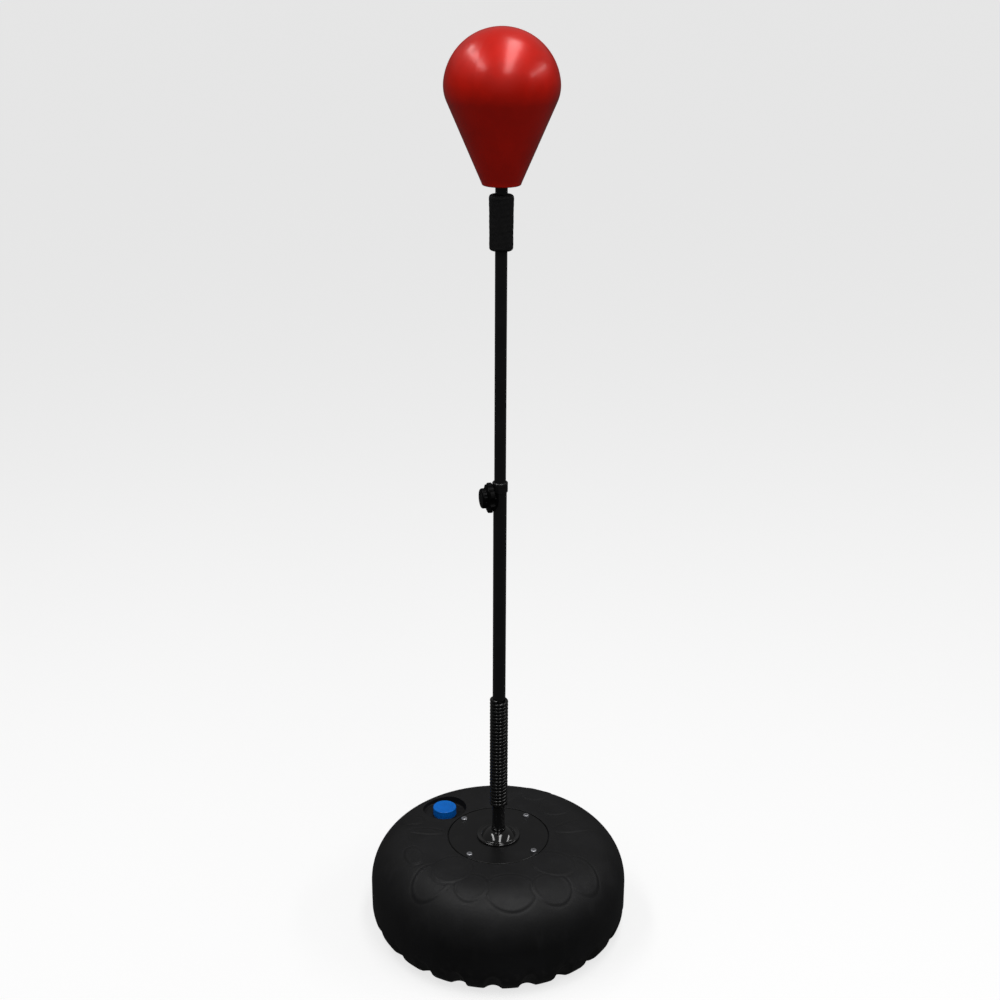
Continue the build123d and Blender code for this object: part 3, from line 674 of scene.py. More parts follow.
class Finishes(Enum):
    """Every finish on the object; a member's value is the finish and the record's material slot."""

    TANK = (
        MouldedPlastic("tank_polyethylene", (0.0105, 0.0105, 0.0112), 0.52, dust=0.2, specular=0.36),
        "tank_plastic",
    )
    PLATE = (
        Enamel("plate_powder_coat", (0.0055, 0.0055, 0.0058), 0.34, 0.0012, 0.00003, 0.08, 0.0),
        "plate_paint",
    )
    DOME = (
        Enamel("dome_gloss_black", (0.0012, 0.0012, 0.0013), 0.1, 0.004, 0.00001, 0.02, 0.8, 0.5),
        "dome_enamel",
    )
    POST = (Enamel("post_enamel", (0.006, 0.006, 0.0063), 0.28, 0.0015, 0.00003), "stub_paint")
    SPRING = (
        Enamel("spring_gloss_black", (0.003, 0.003, 0.0032), 0.2, 0.002, 0.00001, 0.05, 0.3),
        "spring_enamel",
    )
    TUBE = (
        Enamel("tube_powder_coat", (0.0065, 0.0065, 0.007), 0.24, 0.0012, 0.00003, 0.08, 0.4),
        "tube_paint",
    )
    BUSH = (MouldedPlastic("bush_nylon", (0.009, 0.009, 0.0095), 0.34, 0.0006, 0.00002), "bush_plastic")
    KNOB = (
        MouldedPlastic("knob_moulded_black", (0.0016, 0.0016, 0.0017), 0.4, 0.0007, 0.00003, specular=0.12),
        "knob_plastic",
    )
    SOCKET = (
        MouldedPlastic("socket_moulded_nylon", (0.013, 0.013, 0.014), 0.5, 0.0008, 0.00003),
        "socket_nylon",
    )
    PAD = (MouldedPlastic("pad_moulded_nylon", (0.62, 0.6, 0.53), 0.5, 0.0005, 0.00002), "pad_nylon")
    CAP = (
        MouldedPlastic("cap_polypropylene", (0.002, 0.175, 0.72), 0.34, 0.0012, 0.00002, specular=0.3),
        "cap_plastic",
    )
    SLEEVE = (FoamRubber("sleeve_closed_cell", (0.0042, 0.0042, 0.0045)), "sleeve_foam")
    BALL = (InflatedVinyl("ball_stretched_vinyl", (0.72, 0.009, 0.001), 0.36, 0.12, 0.5), "ball_vinyl")
    VALVE = (SoftRubber("valve_moulded_rubber", (0.01, 0.01, 0.0105)), "valve_rubber")
    GASKET = (SoftRubber("gasket_moulded_rubber", (0.014, 0.014, 0.015)), "gasket_rubber")
    ZINC = (BareMetal("zinc_plate", (0.62, 0.63, 0.66), (0.3, 0.3, 0.32)), "screw_zinc")
    STUD = (BareMetal("stud_rolled_zinc", (0.55, 0.56, 0.6), (0.26, 0.26, 0.28), 0.35), "stud_zinc")
    STEEL = (BareMetal("turned_steel", (0.34, 0.34, 0.36), (0.12, 0.1, 0.09), 0.38), "raw_steel")
    BRASS = (BareMetal("insert_turned_brass", (0.68, 0.47, 0.2), (0.3, 0.19, 0.09), 0.3), "insert_brass")

    @property
    def slot(self) -> str:
        """The record's material slot."""
        return self.value[1]

    def on(self, piece: bpy.types.Object) -> None:
        """Puts this finish on a piece as its only material."""
        piece.data.materials.clear()
        piece.data.materials.append(mixed(self.value[0]))


CAD_FINISHES = {
    "threaded_inserts": Finishes.BRASS,
    "mounting_plate": Finishes.PLATE,
    "plate_screws": Finishes.ZINC,
    "socket_boss": Finishes.STEEL,
    "stub_post": Finishes.POST,
    "jam_nut": Finishes.ZINC,
    "upper_spring_plug": Finishes.POST,
    "guide_bush": Finishes.BUSH,
    "weld_nut": Finishes.TUBE,
    "pressure_pad": Finishes.PAD,
    "tube_end_bush": Finishes.BUSH,
    "pole_top_plug": Finishes.STEEL,
    "ball_socket": Finishes.SOCKET,
    "air_valve": Finishes.VALVE,
    "cap_gasket": Finishes.GASKET,
    "lower_tube": Finishes.TUBE,
    "upper_tube": Finishes.TUBE,
}


def settle(piece: bpy.types.Object, finish: Finishes, body: str, *nodes: str) -> bpy.types.Object:
    """Dresses a new piece, rides it on a body and lets it stand for CAD nodes.

    Args:
        piece: the finished mesh object.
        finish: what it is dressed in.
        body: the CAD body that it moves with.
        nodes: the CAD nodes that it stands for.

    Returns:
        The piece.
    """
    finish.on(piece)
    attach(piece, body)
    if nodes:
        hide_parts(*nodes)
    log.info("%s: %d faces, rides on %s", piece.name, len(piece.data.polygons), body)
    return piece


def reach(node: str) -> tuple[float, float, float]:
    """Radius about the pole, lowest and highest point of a round CAD node that stands on the axis."""
    low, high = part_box(node)
    return (high.x - low.x) / 2, low.z, high.z


# ------------------------------------------------------------------ tank base
@dataclass(frozen=True)
class Lobe:
    """A shallow moulded pad on the tank's top: an oval at x, y with half lengths and a turn in degrees."""

    x: float
    y: float
    half_length: float
    half_width: float
    turn: float = 0.0

    def edge(self, x: Array, y: Array) -> Array:
        """Distance inside (negative) or outside the oval, near enough for a narrow step.

        Args:
            x: places.
            y: places.

        Returns:
            The distance at each place.
        """
        c, s = math.cos(math.radians(self.turn)), math.sin(math.radians(self.turn))
        u = ((x - self.x) * c + (y - self.y) * s) / self.half_length
        v = ((y - self.y) * c - (x - self.x) * s) / self.half_width
        return (np.sqrt(u * u + v * v) - 1.0) * min(self.half_length, self.half_width)


@dataclass
class TankBase:
    """Blow-moulded tank: scalloped foot, round shoulder, lobes, plate seat, filler recess and neck."""

    columns: int = 660
    shoulder: float = 0.084
    foot_inset: float = 0.025
    foot_height: float = 0.046
    sole_recess: float = 0.003
    sole_ring: float = 0.024
    flutes: int = 22
    flute_radius: float = 0.018
    flute_depth: float = 0.009
    flute_height: float = 0.045
    flute_turn: float = -2.2
    seat_gap: float = 0.0016
    rim_round: float = 0.0009
    well_gap: float = 0.005
    well_depth: float = 0.067
    recess_radius: float = 0.0395
    recess_depth: float = 0.015
    neck_bore: float = 0.013
    neck_radius: float = 0.0164
    thread_height: float = 0.0006
    thread_pitch: float = 0.004
    lobe_height: float = 0.0007
    lobes: tuple[Lobe, ...] = (
        Lobe(0.020, -0.158, 0.044, 0.038),
        Lobe(-0.045, -0.150, 0.029, 0.030),
        Lobe(-0.110, -0.127, 0.038, 0.034, 45.0),
        Lobe(-0.078, -0.104, 0.038, 0.034, 50.0),
        Lobe(0.133, -0.104, 0.040, 0.036, -40.0),
        Lobe(0.090, -0.146, 0.034, 0.029, 20.0),
        Lobe(0.094, -0.086, 0.038, 0.033, -30.0),
        Lobe(-0.146, -0.062, 0.026, 0.015, -68.0),
        Lobe(-0.126, 0.010, 0.030, 0.009, -6.0),
        Lobe(0.142, 0.030, 0.044, 0.017, 20.0),
        Lobe(0.108, 0.100, 0.038, 0.030, 45.0),
        Lobe(0.070, 0.148, 0.034, 0.028, 65.0),
        Lobe(0.006, 0.146, 0.038, 0.030, 90.0),
        Lobe(-0.154, 0.050, 0.022, 0.015, 160.0),
    )

    def __post_init__(self) -> None:
        """Reads the driving sizes off the CAD nodes."""
        self.radius, _, self.top = reach("base_tank")
        plate_radius, self.seat, _ = reach("mounting_plate")
        self.seat_radius = plate_radius + self.seat_gap
        self.well_radius = reach("socket_boss")[0] + self.well_gap
        low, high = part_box("filler_cap")
        self.filler = (low + high) / 2

    def outline(self) -> Array:
        """Half section of the tank's skin, from the middle of the underside to the foot of the well.

        Returns:
            Distance from the axis and height of each point.
        """
        foot = self.radius - self.foot_inset
        sole = foot - self.sole_ring
        foot_round = (self.foot_height**2 + self.foot_inset**2) / (2 * self.foot_inset)
        down = -math.degrees(math.asin(self.foot_height / foot_round))
        wall_top = self.top - self.shoulder
        flat = self.radius - self.shoulder
        rim = self.seat_radius + self.rim_round
        well_floor = self.seat - self.well_depth
        return chain(
            line((0.0, self.sole_recess), (sole, self.sole_recess), 4),
            line((sole, 0.0), (foot - 0.0015, 0.0), 6),
            arc((self.radius - foot_round, self.foot_height), foot_round, down + 1.2, 0, 26),
            line((self.radius, self.foot_height), (self.radius, wall_top), 5),
            arc((flat, wall_top), self.shoulder, 0, 90, 66),
            line((flat, self.top), (rim, self.top), 30),
            arc((rim, self.top - self.rim_round), self.rim_round, 90, 180, 4),
            line((self.seat_radius, self.seat), (self.well_radius, self.seat), 3),
            line((self.well_radius, well_floor), (0.0, well_floor), 2),
        )

    def lobe_relief(self, x: Array, y: Array) -> Array:
        """Height of the moulded pattern, 0 to 1.

        Each lobe is laid over the ones before it: a low pad with a raised line round its edge and a
        fine groove outside that.

        Args:
            x: places.
            y: places.

        Returns:
            The height at each place.
        """
        height = np.zeros_like(x)
        for lobe in self.lobes:
            edge = lobe.edge(x, y)
            inside = 1.0 - smooth(-0.0012, 0.0012, edge)
            pad = 0.35 + 0.65 * np.exp(-((edge + 0.003) / 0.0022) ** 2)
            groove = -0.8 * np.exp(-((edge - 0.0016) / 0.0014) ** 2)
            height = height * (1.0 - inside) * smooth(0.0, 0.004, np.abs(edge)) + pad * inside + groove
        return height

    def shape(self, r: Array, z: Array, turn: Array) -> tuple[Array, Array]:
        """Presses the flutes into the foot and raises the lobes on the top.

        A flute is an upright oval cylinder that leans outwards; the wall is drawn in to its near side,
        found along each ray from the axis. The lobes stand out along the shoulder's own normal.

        Args:
            r: distance of each point from the axis.
            z: height of each point.
            turn: angle of each point round the axis.

        Returns:
            The new distances and heights.
        """
        inset = self.foot_inset + self.flute_depth
        lean = math.atan2(inset, self.flute_height)
        pitch = 2 * math.pi / self.flutes
        side = (turn - math.radians(self.flute_turn)) % pitch - pitch / 2
        across, round_ = self.flute_radius / math.cos(lean), self.flute_radius
        centre = self.radius - inset + across + z * math.tan(lean)
        a = (np.cos(side) / across) ** 2 + (np.sin(side) / round_) ** 2
        b = centre * np.cos(side) / across**2
        c = (centre / across) ** 2 - 1.0
        hit = b * b - a * c
        wall = np.where(hit > 0, (b - np.sqrt(np.maximum(hit, 0.0))) / a, self.radius * 1.1)
        low = (z < self.flute_height + 0.008) & (r > self.radius - inset - 0.01)
        r = np.where(low, soft_least(r, wall, 0.003), r)

        rise = np.clip((z - (self.top - self.shoulder)) / self.shoulder, 0.0, 1.0)
        lift = self.lobe_relief(r * np.cos(turn), r * np.sin(turn)) * self.lobe_height
        on_top = (z > self.top - self.shoulder) & (r > self.seat_radius)
        lift = lift * on_top * smooth(0.45, 0.75, rise) * smooth(0.0, 0.008, r - self.seat_radius - 0.002)
        dx, dy = r * np.cos(turn) - self.filler.x, r * np.sin(turn) - self.filler.y
        from_recess = np.hypot(dx, dy) - self.recess_radius
        lift = (
            lift * smooth(0.001, 0.008, from_recess)
            - 0.0009 * (1 - smooth(-0.001, 0.0028, from_recess)) * on_top
        )
        outwards = np.sqrt(np.maximum(1.0 - rise * rise, 0.0)) * (r > self.radius - self.shoulder)
        return r + lift * outwards, z + lift * rise

    def cut_recess(self, tank: bpy.types.Object) -> None:
        """Takes the filler recess and its bore out of the tank's skin.

        Args:
            tank: the tank's mesh object, whose mesh is swapped for the cut one.
        """
        floor = self.top - self.recess_depth
        above = self.top + 0.02
        outline = chain(
            line((0.0, self.top - 0.08), (self.neck_bore, self.top - 0.08), 2),
            line((self.neck_bore, floor), (self.recess_radius - 0.002, floor), 2),
            arc((self.recess_radius - 0.002, floor + 0.002), 0.002, -90, 0, 5),
            line((self.recess_radius, above), (0.0, above), 2),
        )
        spot = Matrix.Translation((self.filler.x, self.filler.y, 0.0))
        cutter = make_object("recess_cutter", [moved(turned(outline, 128, ring=False), spot)])
        cut = tank.modifiers.new("recess", "BOOLEAN")
        cut.operation, cut.solver, cut.object = "DIFFERENCE", "EXACT", cutter
        graph = bpy.context.evaluated_depsgraph_get()
        graph.update()
        skin = bpy.data.meshes.new_from_object(tank.evaluated_get(graph))
        tank.modifiers.clear()
        tank.data = skin
        skin.name = tank.name
        skin.set_sharp_from_angle(angle=math.radians(40))
        bpy.data.objects.remove(cutter)

    def neck(self) -> Surface:
        """The filler neck: a ring whose outside swells and falls along a right-hand screw line.

        Returns:
            The neck's surface.
        """
        floor = self.top - self.recess_depth
        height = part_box("cap_gasket")[0].z - floor
        outline = rounded([
            (self.neck_bore, floor - 0.001, 0.0),
            (self.neck_radius, floor - 0.001, 0.0),
            (self.neck_radius, floor + height - 0.0001, 0.0006),
            (self.neck_bore, floor + height - 0.0001, 0.0006),
        ])
        side = line((self.neck_radius, floor), (self.neck_radius, floor + height - 0.001), 60)
        outline = chain(outline[:1], side, outline[-10:])

        def thread(r: Array, z: Array, turn: Array) -> tuple[Array, Array]:
            """Swells the side along the screw line.

            Args:
                r: distance of each point from the axis.
                z: height of each point.
                turn: angle of each point round the axis.

            Returns:
                The new distances and heights.
            """
            phase = (z - floor) / self.thread_pitch - turn / (2 * math.pi)
            ridge = smooth(0.45, 0.95, np.cos(2 * math.pi * phase))
            inside = smooth(0.0015, 0.003, z - floor) * smooth(0.0008, 0.002, floor + height - z)
            return r + self.thread_height * ridge * inside * (r > self.neck_radius - 1e-5), z

        spot = Matrix.Translation((self.filler.x, self.filler.y, 0.0))
        return moved(turned(outline, 96, thread), spot)

    def build(self) -> None:
        """Makes the tank and its neck."""
        tank = make_object("tank_body", [turned(self.outline(), self.columns, self.shape, ring=False)])
        self.cut_recess(tank)
        settle(tank, Finishes.TANK, "base", "base_tank")
        settle(make_object("filler_neck", [self.neck()]), Finishes.TANK, "base")


# ------------------------------------------------------------------ pole foot
@dataclass
class DomeCover:
    """Pressed bell at the foot of the pole: a beaded neck, a shallow dome and a rolled lip."""

    columns: int = 144
    sheet: float = 0.0012
    lip_width: float = 0.008
    lip_height: float = 0.0034
    neck_wall: float = 0.0017
    bead: float = 0.0042
    bulge: float = 0.8

    def build(self) -> None:
        """Makes the dome from one outline: a parabola from neck to lip, the lip, then back inside."""
        radius, bottom, top = reach("dome_cover")
        bore = reach("stub_post")[0] + 0.0002
        neck = bore + self.neck_wall
        foot = radius - self.lip_width
        crown = top - self.bead
        lip = bottom + self.lip_height
        share = np.linspace(0.0, 1.0, 24)[:, None]
        drop = (1.0 - self.bulge) * share + self.bulge * share**2
        outside = np.concatenate([neck + (foot - neck) * share, crown - (crown - lip) * drop], axis=1)
        inside = outside[::-1] - np.array([0.0, self.sheet])
        roll = self.lip_height / 2
        outline = chain(
            np.array([[bore, crown - self.sheet]]),
            line((bore, top - 0.0006), (bore + 0.0005, top), 3),
            arc((neck - 0.0008, top - 0.0009), 0.0009, 90, -10, 6),
            line((neck + 0.0001, crown + 0.0012), (neck + 0.0002, crown), 3),
            outside,
            line((foot + 0.0006, lip - 0.0009), (foot + 0.0016, lip - 0.0012), 2),
            arc((radius - roll, bottom + roll), roll, 120, -75, 14),
            line((radius - roll * 2, bottom + 0.0003), (foot, bottom + 0.0003), 2),
            inside,
        )
        dome = make_object("dome", [turned(outline, self.columns)], 60.0)
        settle(dome, Finishes.DOME, "base", "dome_cover")


@dataclass
class CoilSpring:
    """Close-wound spring, built in two halves that meet at its middle."""

    wire: float = 0.0064
    pitch: float = 0.00652
    grip: float = 0.040
    steps_per_turn: int = 36
    sides: int = 14

    def coil(self, start: float, end: float, foot: float, radius: float) -> Surface:
        """A round wire on a right-hand helix.

        The centre line is (R cos a, R sin a, foot + pitch a / turn); the section's two directions are
        the outward normal and the one square to it and to the line.

        Args:
            start: first turn.
            end: last turn.
            foot: height of the centre line at turn 0.
            radius: of the centre line.

        Returns:
            The wire, closed at both cut ends.
        """
        count = int((end - start) * self.steps_per_turn)
        a = np.linspace(start, end, count)[:, None] * 2 * math.pi
        climb = self.pitch / (2 * math.pi)
        centre = np.concatenate([radius * np.cos(a), radius * np.sin(a), foot + climb * a], axis=1)
        out = np.concatenate([np.cos(a), np.sin(a), 0 * a], axis=1)
        ahead = np.concatenate([-radius * np.sin(a), radius * np.cos(a), climb + 0 * a], axis=1)
        ahead /= np.linalg.norm(ahead, axis=1, keepdims=True)
        up = np.cross(ahead, out)
        turn = np.linspace(0.0, 2 * math.pi, self.sides, endpoint=False)[None, :, None]
        points = centre[:, None] + self.wire / 2 * (np.cos(turn) * out[:, None] + np.sin(turn) * up[:, None])
        return Surface(points, False, (tuple(centre[0]), tuple(centre[-1])))

    def build(self) -> None:
        """Makes the two halves, dresses them and hides the CAD spring."""
        outer, bottom, top = reach("coil_spring")
        foot = bottom + self.wire / 2
        turns = (top - bottom - self.wire) / self.pitch
        middle = (bottom + top) / 2
        split = (middle - foot) / self.pitch
        radius = outer - self.wire / 2
        halves = (
            ("spring_lower", 0.0, split, "base", "spring", bottom + self.grip, middle),
            ("spring_upper", split, turns, "spring", "lower_pole", middle, top - self.grip),
        )
        for name, first, last, below, above, start, end in halves:
            half = make_object(name, [self.coil(first, last, foot, radius)], 60.0)
            Finishes.SPRING.on(half)
            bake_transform(half)
            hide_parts("coil_spring")
            log.info("%s: bends from %s to %s", name, below, above)


# ------------------------------------------------------------------ clamp
@dataclass
class ClampScrew:
    """Knob with a lobed rim and a round hub, and the threaded stud moulded into it."""

    columns: int = 216
    lobes: int = 6
    rim_width: float = 0.008
    rim_slope: float = 0.0035
    hub_radius: float = 0.0165
    hub_round: float = 0.003
    hub_flute: float = 0.0009
    scallop_radius: float = 0.009
    scallop_depth: float = 0.0045
    recess_radius: float = 0.0105
    recess_depth: float = 0.0061
    button_radius: float = 0.0085
    thread_pitch: float = 0.00125
    thread_depth: float = 0.0006

    def __post_init__(self) -> None:
        """Takes the clamp's axis from its joints, and the knob's and stud's lengths from their nodes."""
        joints = {j["name"]: j for j in frame["joints"]}
        self.axis = Vector(joints["clamp_turn"]["axis"]).normalized()
        self.centre = Vector(joints["clamp_turn"]["pos_m"])
        side = Vector((0, 0, 1)).cross(self.axis)
        turn = Matrix((side, self.axis.cross(side), self.axis)).transposed().to_4x4()
        self.place = Matrix.Translation(self.centre) @ turn
        self.knob_start, self.knob_end, self.knob_radius = self.along("star_knob")
        self.stud_start, self.stud_end, self.stud_radius = self.along("clamp_stud")

    def along(self, node: str) -> tuple[float, float, float]:
        """Nearest and furthest reach of a node along the clamp's axis, and its greatest radius about it.

        Args:
            node: the CAD node's name.

        Returns:
            Nearest reach, furthest reach and radius.
        """
        mesh = frame["nodes"][node].data
        at = np.array([v.co for v in mesh.vertices]) - np.array(self.centre)
        forward = at @ np.array(self.axis)
        aside = np.linalg.norm(at - forward[:, None] * np.array(self.axis), axis=1)
        return float(forward.min()), float(forward.max()), float(aside.max())

    def lobed(self, r: Array, z: Array, turn: Array) -> tuple[Array, Array]:
        """Draws the rim in to round scallops: each ray stops at the near side of the scallop's circle.

        Args:
            r: distance of each point from the axis.
            z: height of each point.
            turn: angle of each point round the axis.

        Returns:
            The new distances and heights.
        """
        pitch = 2 * math.pi / self.lobes
        side = (turn + pitch / 2) % pitch - pitch / 2
        middle = self.knob_radius + self.scallop_radius - self.scallop_depth
        inner = self.scallop_radius**2 - (middle * np.sin(side)) ** 2
        near = middle * np.cos(side) - np.sqrt(np.maximum(inner, 0.0))
        near = np.where(inner > 0, near, middle * np.cos(side) + 0.004)
        flute = self.hub_flute * smooth(0.2, 1.0, np.cos(2 * self.lobes * turn))
        hub = (z > self.knob_start + self.rim_width) & (z < self.knob_end - self.hub_round)
        r = r - flute * hub * (r < self.hub_radius + 0.001) * (r > self.recess_radius * 1.2)
        return np.where(r > self.recess_radius * 1.2, soft_least(r, near, 0.0022), r), z

    def knob(self) -> Surface:
        """The knob's skin: recess, back, lobed rim, slope, hub and a face with a shallow button.

        Returns:
            The knob's surface, with its axis along Z.
        """
        start, end, radius = self.knob_start, self.knob_end, self.knob_radius
        recess_end = start + self.recess_depth
        rim = start + self.rim_width
        face = self.hub_radius - self.hub_round
        outline = chain(
            line((0.0, recess_end), (self.recess_radius, recess_end), 3),
            line((self.recess_radius, start + 0.0005), (self.recess_radius + 0.0005, start), 3),
            line((self.recess_radius * 1.3, start), (radius - 0.0015, start), 8),
            arc((radius - 0.0015, start + 0.0015), 0.0015, -90, 0, 5),
            line((radius, start + 0.0018), (radius, rim - 0.0018), 6),
            arc((radius - 0.0015, rim - 0.0015), 0.0015, 0, 80, 5),
            line((radius - 0.002, rim + 0.0001), (self.hub_radius + 0.001, rim + self.rim_slope - 0.0006), 8),
            line((self.hub_radius, rim + self.rim_slope), (self.hub_radius, end - self.hub_round), 10),
            arc((face, end - self.hub_round), self.hub_round, 0, 90, 8),
            line((face - 0.001, end), (self.button_radius + 0.0008, end), 4),
            line((self.button_radius + 0.0004, end - 0.0007), (self.button_radius, end - 0.0007), 2),
            line((self.button_radius - 0.0004, end - 0.0001), (0.0, end - 0.0001), 5),
        )
        return turned(outline, self.columns, self.lobed, ring=False)

    def stud(self) -> Surface:
        """A rod whose radius rises and falls along a right-hand screw line, with chamfered ends.

        Returns:
            The stud's surface, with its axis along Z.
        """
        start, end, radius = self.stud_start, self.stud_end, self.stud_radius
        outline = chain(
            np.array([[0.0, start]]),
            line((radius - 0.0008, start), (radius, start + 0.0008), 4),
            line((radius, start + 0.0009), (radius, end - 0.0009), 130),
            line((radius, end - 0.0008), (radius - 0.0008, end), 4),
            np.array([[0.0, end]]),
        )

        def thread(r: Array, z: Array, turn: Array) -> tuple[Array, Array]:
            """Draws the radius in along the screw line."""
            phase = (z - start) / self.thread_pitch - turn / (2 * math.pi)
            return r - self.thread_depth * (0.5 - 0.5 * np.cos(2 * math.pi * phase)), z

        return turned(outline, 48, thread, ring=False)

    def build(self) -> None:
        """Makes the knob and the stud."""
        knob = make_object("knob", [moved(self.knob(), self.place)], 50.0)
        settle(knob, Finishes.KNOB, "clamp_knob", "star_knob")
        stud = make_object("knob_stud", [moved(self.stud(), self.place)], 70.0)
        settle(stud, Finishes.STUD, "clamp_knob", "clamp_stud")


# ------------------------------------------------------------------ sleeve and ball
@dataclass
class HandSleeve:
    """Foam sleeve under the ball, a little waisted and lumpy, with soft round ends."""

    columns: int = 120
    end_round: float = 0.0045
    lump: float = 0.0002

    def build(self) -> None:
        """Makes the sleeve from a closed outline with round corners."""
        low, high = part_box("hand_sleeve")
        outer, bottom, top = (high.x - low.x) / 2, low.z, high.z
        bore = reach("upper_tube")[0] + 0.00005
        foot = outer * 0.96
        corners = rounded([
            (bore, bottom, 0.001),
            (foot, bottom, self.end_round),
            (outer, top, self.end_round),
            (bore, top, 0.001),
        ], 9)
        half = len(corners) // 2
        side = line(corners[half - 1], corners[half], 40)
        outline = chain(corners[:half], side, corners[half:])

        def soften(r: Array, z: Array, turn: Array) -> tuple[Array, Array]:
            """Waists the sleeve and lays faint lumps on its outside.

            Args:
                r: distance of each point from the axis.
                z: height of each point.
                turn: angle of each point round the axis.

            Returns:
                The new distances and heights.
            """
            share = (z - bottom) / (top - bottom)
            waist = 0.0002 * np.sin(math.pi * share)
            lumps = np.sin(3 * turn + 40 * share) * np.sin(5 * turn - 23 * share + 1.0)
            skin = smooth(bore + 0.002, foot - 0.004, r)
            return r + skin * (self.lump * lumps - waist), z

        sleeve = make_object("foam_sleeve", [turned(outline, self.columns, soften)])
        settle(sleeve, Finishes.SLEEVE, "upper_pole", "hand_sleeve")


@dataclass
class PunchBall:
    """Inflated teardrop ball: a sphere, a rounded cheek, a cone and a flat base with a socket hole."""

    columns: int = 168
    mouth_radius: float = 0.029
    cone_angle: float = 23.5
    cheek_radius: float = 0.058
    wall: float = 0.003
    base_wall: float = 0.004
    mouth_round: float = 0.0025
    seam_height: float = 0.00025

    def skin(self, top: float, bottom: float, radius: float, inset: float) -> Array:
        """Half section from the top pole to the edge of the base, moved in by inset.

        The cheek's circle touches the sphere from inside and the cone's line, so its centre lies on a
        line beside the cone at the cheek's radius.

        Args:
            top: height of the pole.
            bottom: height of the base.
            radius: of the sphere.
            inset: how far inside the outer skin it lies.

        Returns:
            Distance from the axis and height of each point.
        """
        slope = math.radians(self.cone_angle)
        centre = top - radius
        across = (
            (self.mouth_radius + (centre - bottom) * math.tan(slope)) * math.cos(slope) - self.cheek_radius
        )
        along = math.sqrt((radius - self.cheek_radius) ** 2 - across**2)
        cheek = (
            across * math.cos(slope) + along * math.sin(slope),
            centre - across * math.sin(slope) + along * math.cos(slope),
        )
        join = math.degrees(math.atan2(cheek[1] - centre, cheek[0]))
        leave = arc(cheek, self.cheek_radius - inset, join, -self.cone_angle, 30)
        foot = bottom + (self.base_wall if inset else self.mouth_round)
        edge = leave[-1, 0] - (leave[-1, 1] - foot) * math.tan(slope)
        return chain(
            arc((0.0, centre), radius - inset, 90, join, 44),
            leave,
            line(leave[-1], (edge, foot), 26),
        )

    def build(self) -> None:
        """Makes the ball: outer skin, base, socket hole and inner skin, closed at the top pole."""
        low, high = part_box("ball_shell")
        radius, bottom, top = (high.x - low.x) / 2, low.z, high.z
        hole = (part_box("ball_socket")[1].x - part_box("ball_socket")[0].x) / 2 - 0.00495
        outer = self.skin(top, bottom, radius, 0.0)
        inner = self.skin(top, bottom, radius, self.wall)[::-1]
        mouth = (outer[-1, 0] - self.mouth_round, bottom + self.mouth_round)
        turn = arc(mouth, self.mouth_round, -20, -90, 6)
        outline = chain(
            outer,
            turn,
            line((hole + 0.0006, bottom), (hole, bottom + 0.0006), 3),
            line((hole, bottom + 0.001), (hole, bottom + self.base_wall), 2),
            inner,
        )
        outline[0, 0] = outline[-1, 0] = 0.0

        def seam(r: Array, z: Array, angle: Array) -> tuple[Array, Array]:
            """Raises a fine moulding seam on the outer skin.

            Args:
                r: distance of each point from the axis.
                z: height of each point.
                angle: angle of each point round the axis.

            Returns:
                The new distances and heights.
            """
            beside = np.abs(np.sin(angle - math.radians(62))) * r
            ridge = np.exp(-((beside / 0.0009) ** 2)) * smooth(0.01, 0.03, r)
            outside = np.arange(len(r))[:, None] < len(outer)
            return r + self.seam_height * ridge * outside, z

        ball = make_object("ball", [turned(outline, self.columns, seam, ring=False)])
        settle(ball, Finishes.BALL, "upper_pole", "ball_shell")


# ------------------------------------------------------------------ filler cap
@dataclass
class FillerCap:
    """Screw cap: ribbed skirt, round top edge, a dished top and a plain bore inside."""

    ribs: int = 36
    rib_depth: float = 0.0007
    top_wall: float = 0.003
    skirt_wall: float = 0.0033
    edge_round: float = 0.0016
    dish: float = 0.0006

    def build(self) -> None:
        """Makes the cap from one outline, ribbed where it is widest."""
        low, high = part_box("filler_cap")
        radius, bottom, top = (high.x - low.x) / 2, low.z, high.z
        spot = Matrix.Translation(((low.x + high.x) / 2, (low.y + high.y) / 2, 0.0))
        bore = radius - self.skirt_wall
        outline = chain(
            line((0.0, top - self.dish), (radius * 0.72, top - self.dish), 6),
            line((radius * 0.78, top), (radius - self.edge_round, top), 3),
            arc((radius - self.edge_round, top - self.edge_round), self.edge_round, 90, 0, 7),
            line((radius, top - self.edge_round - 0.0004), (radius, bottom + 0.0012), 14),
            line((radius - 0.0004, bottom), (bore + 0.0004, bottom), 3),
            line((bore, bottom + 0.0004), (bore, top - self.top_wall), 24),
            line((bore - 0.0004, top - self.top_wall), (0.0, top - self.top_wall), 4),
        )

        def ribbed(r: Array, z: Array, turn: Array) -> tuple[Array, Array]:
            """Presses grooves into the skirt, so that ribs stand between them.

            Args:
                r: distance of each point from the axis.
                z: height of each point.
                turn: angle of each point round the axis.

            Returns:
                The new distances and heights.
            """
            groove = smooth(0.1, 0.9, 0.5 + 0.5 * np.cos(self.ribs * turn))
            side = smooth(radius - 0.0006, radius - 0.0001, r)
            side = side * smooth(0.0012, 0.003, top - z) * smooth(0.0, 0.002, z - bottom)
            return r - self.rib_depth * groove * side, z

        cap = make_object("cap", [moved(turned(outline, self.ribs * 10, ribbed, ring=False), spot)])
        settle(cap, Finishes.CAP, "cap", "filler_cap")


# ------------------------------------------------------------------ studio
@dataclass(frozen=True)
class Strip:
    """A soft light panel: its place, aim, width, length and watts; mirrored if gloss shows it."""

    name: str
    place: Colour
    aim: Colour
    width: float
    length: float
    power: float
    mirrored: bool = True


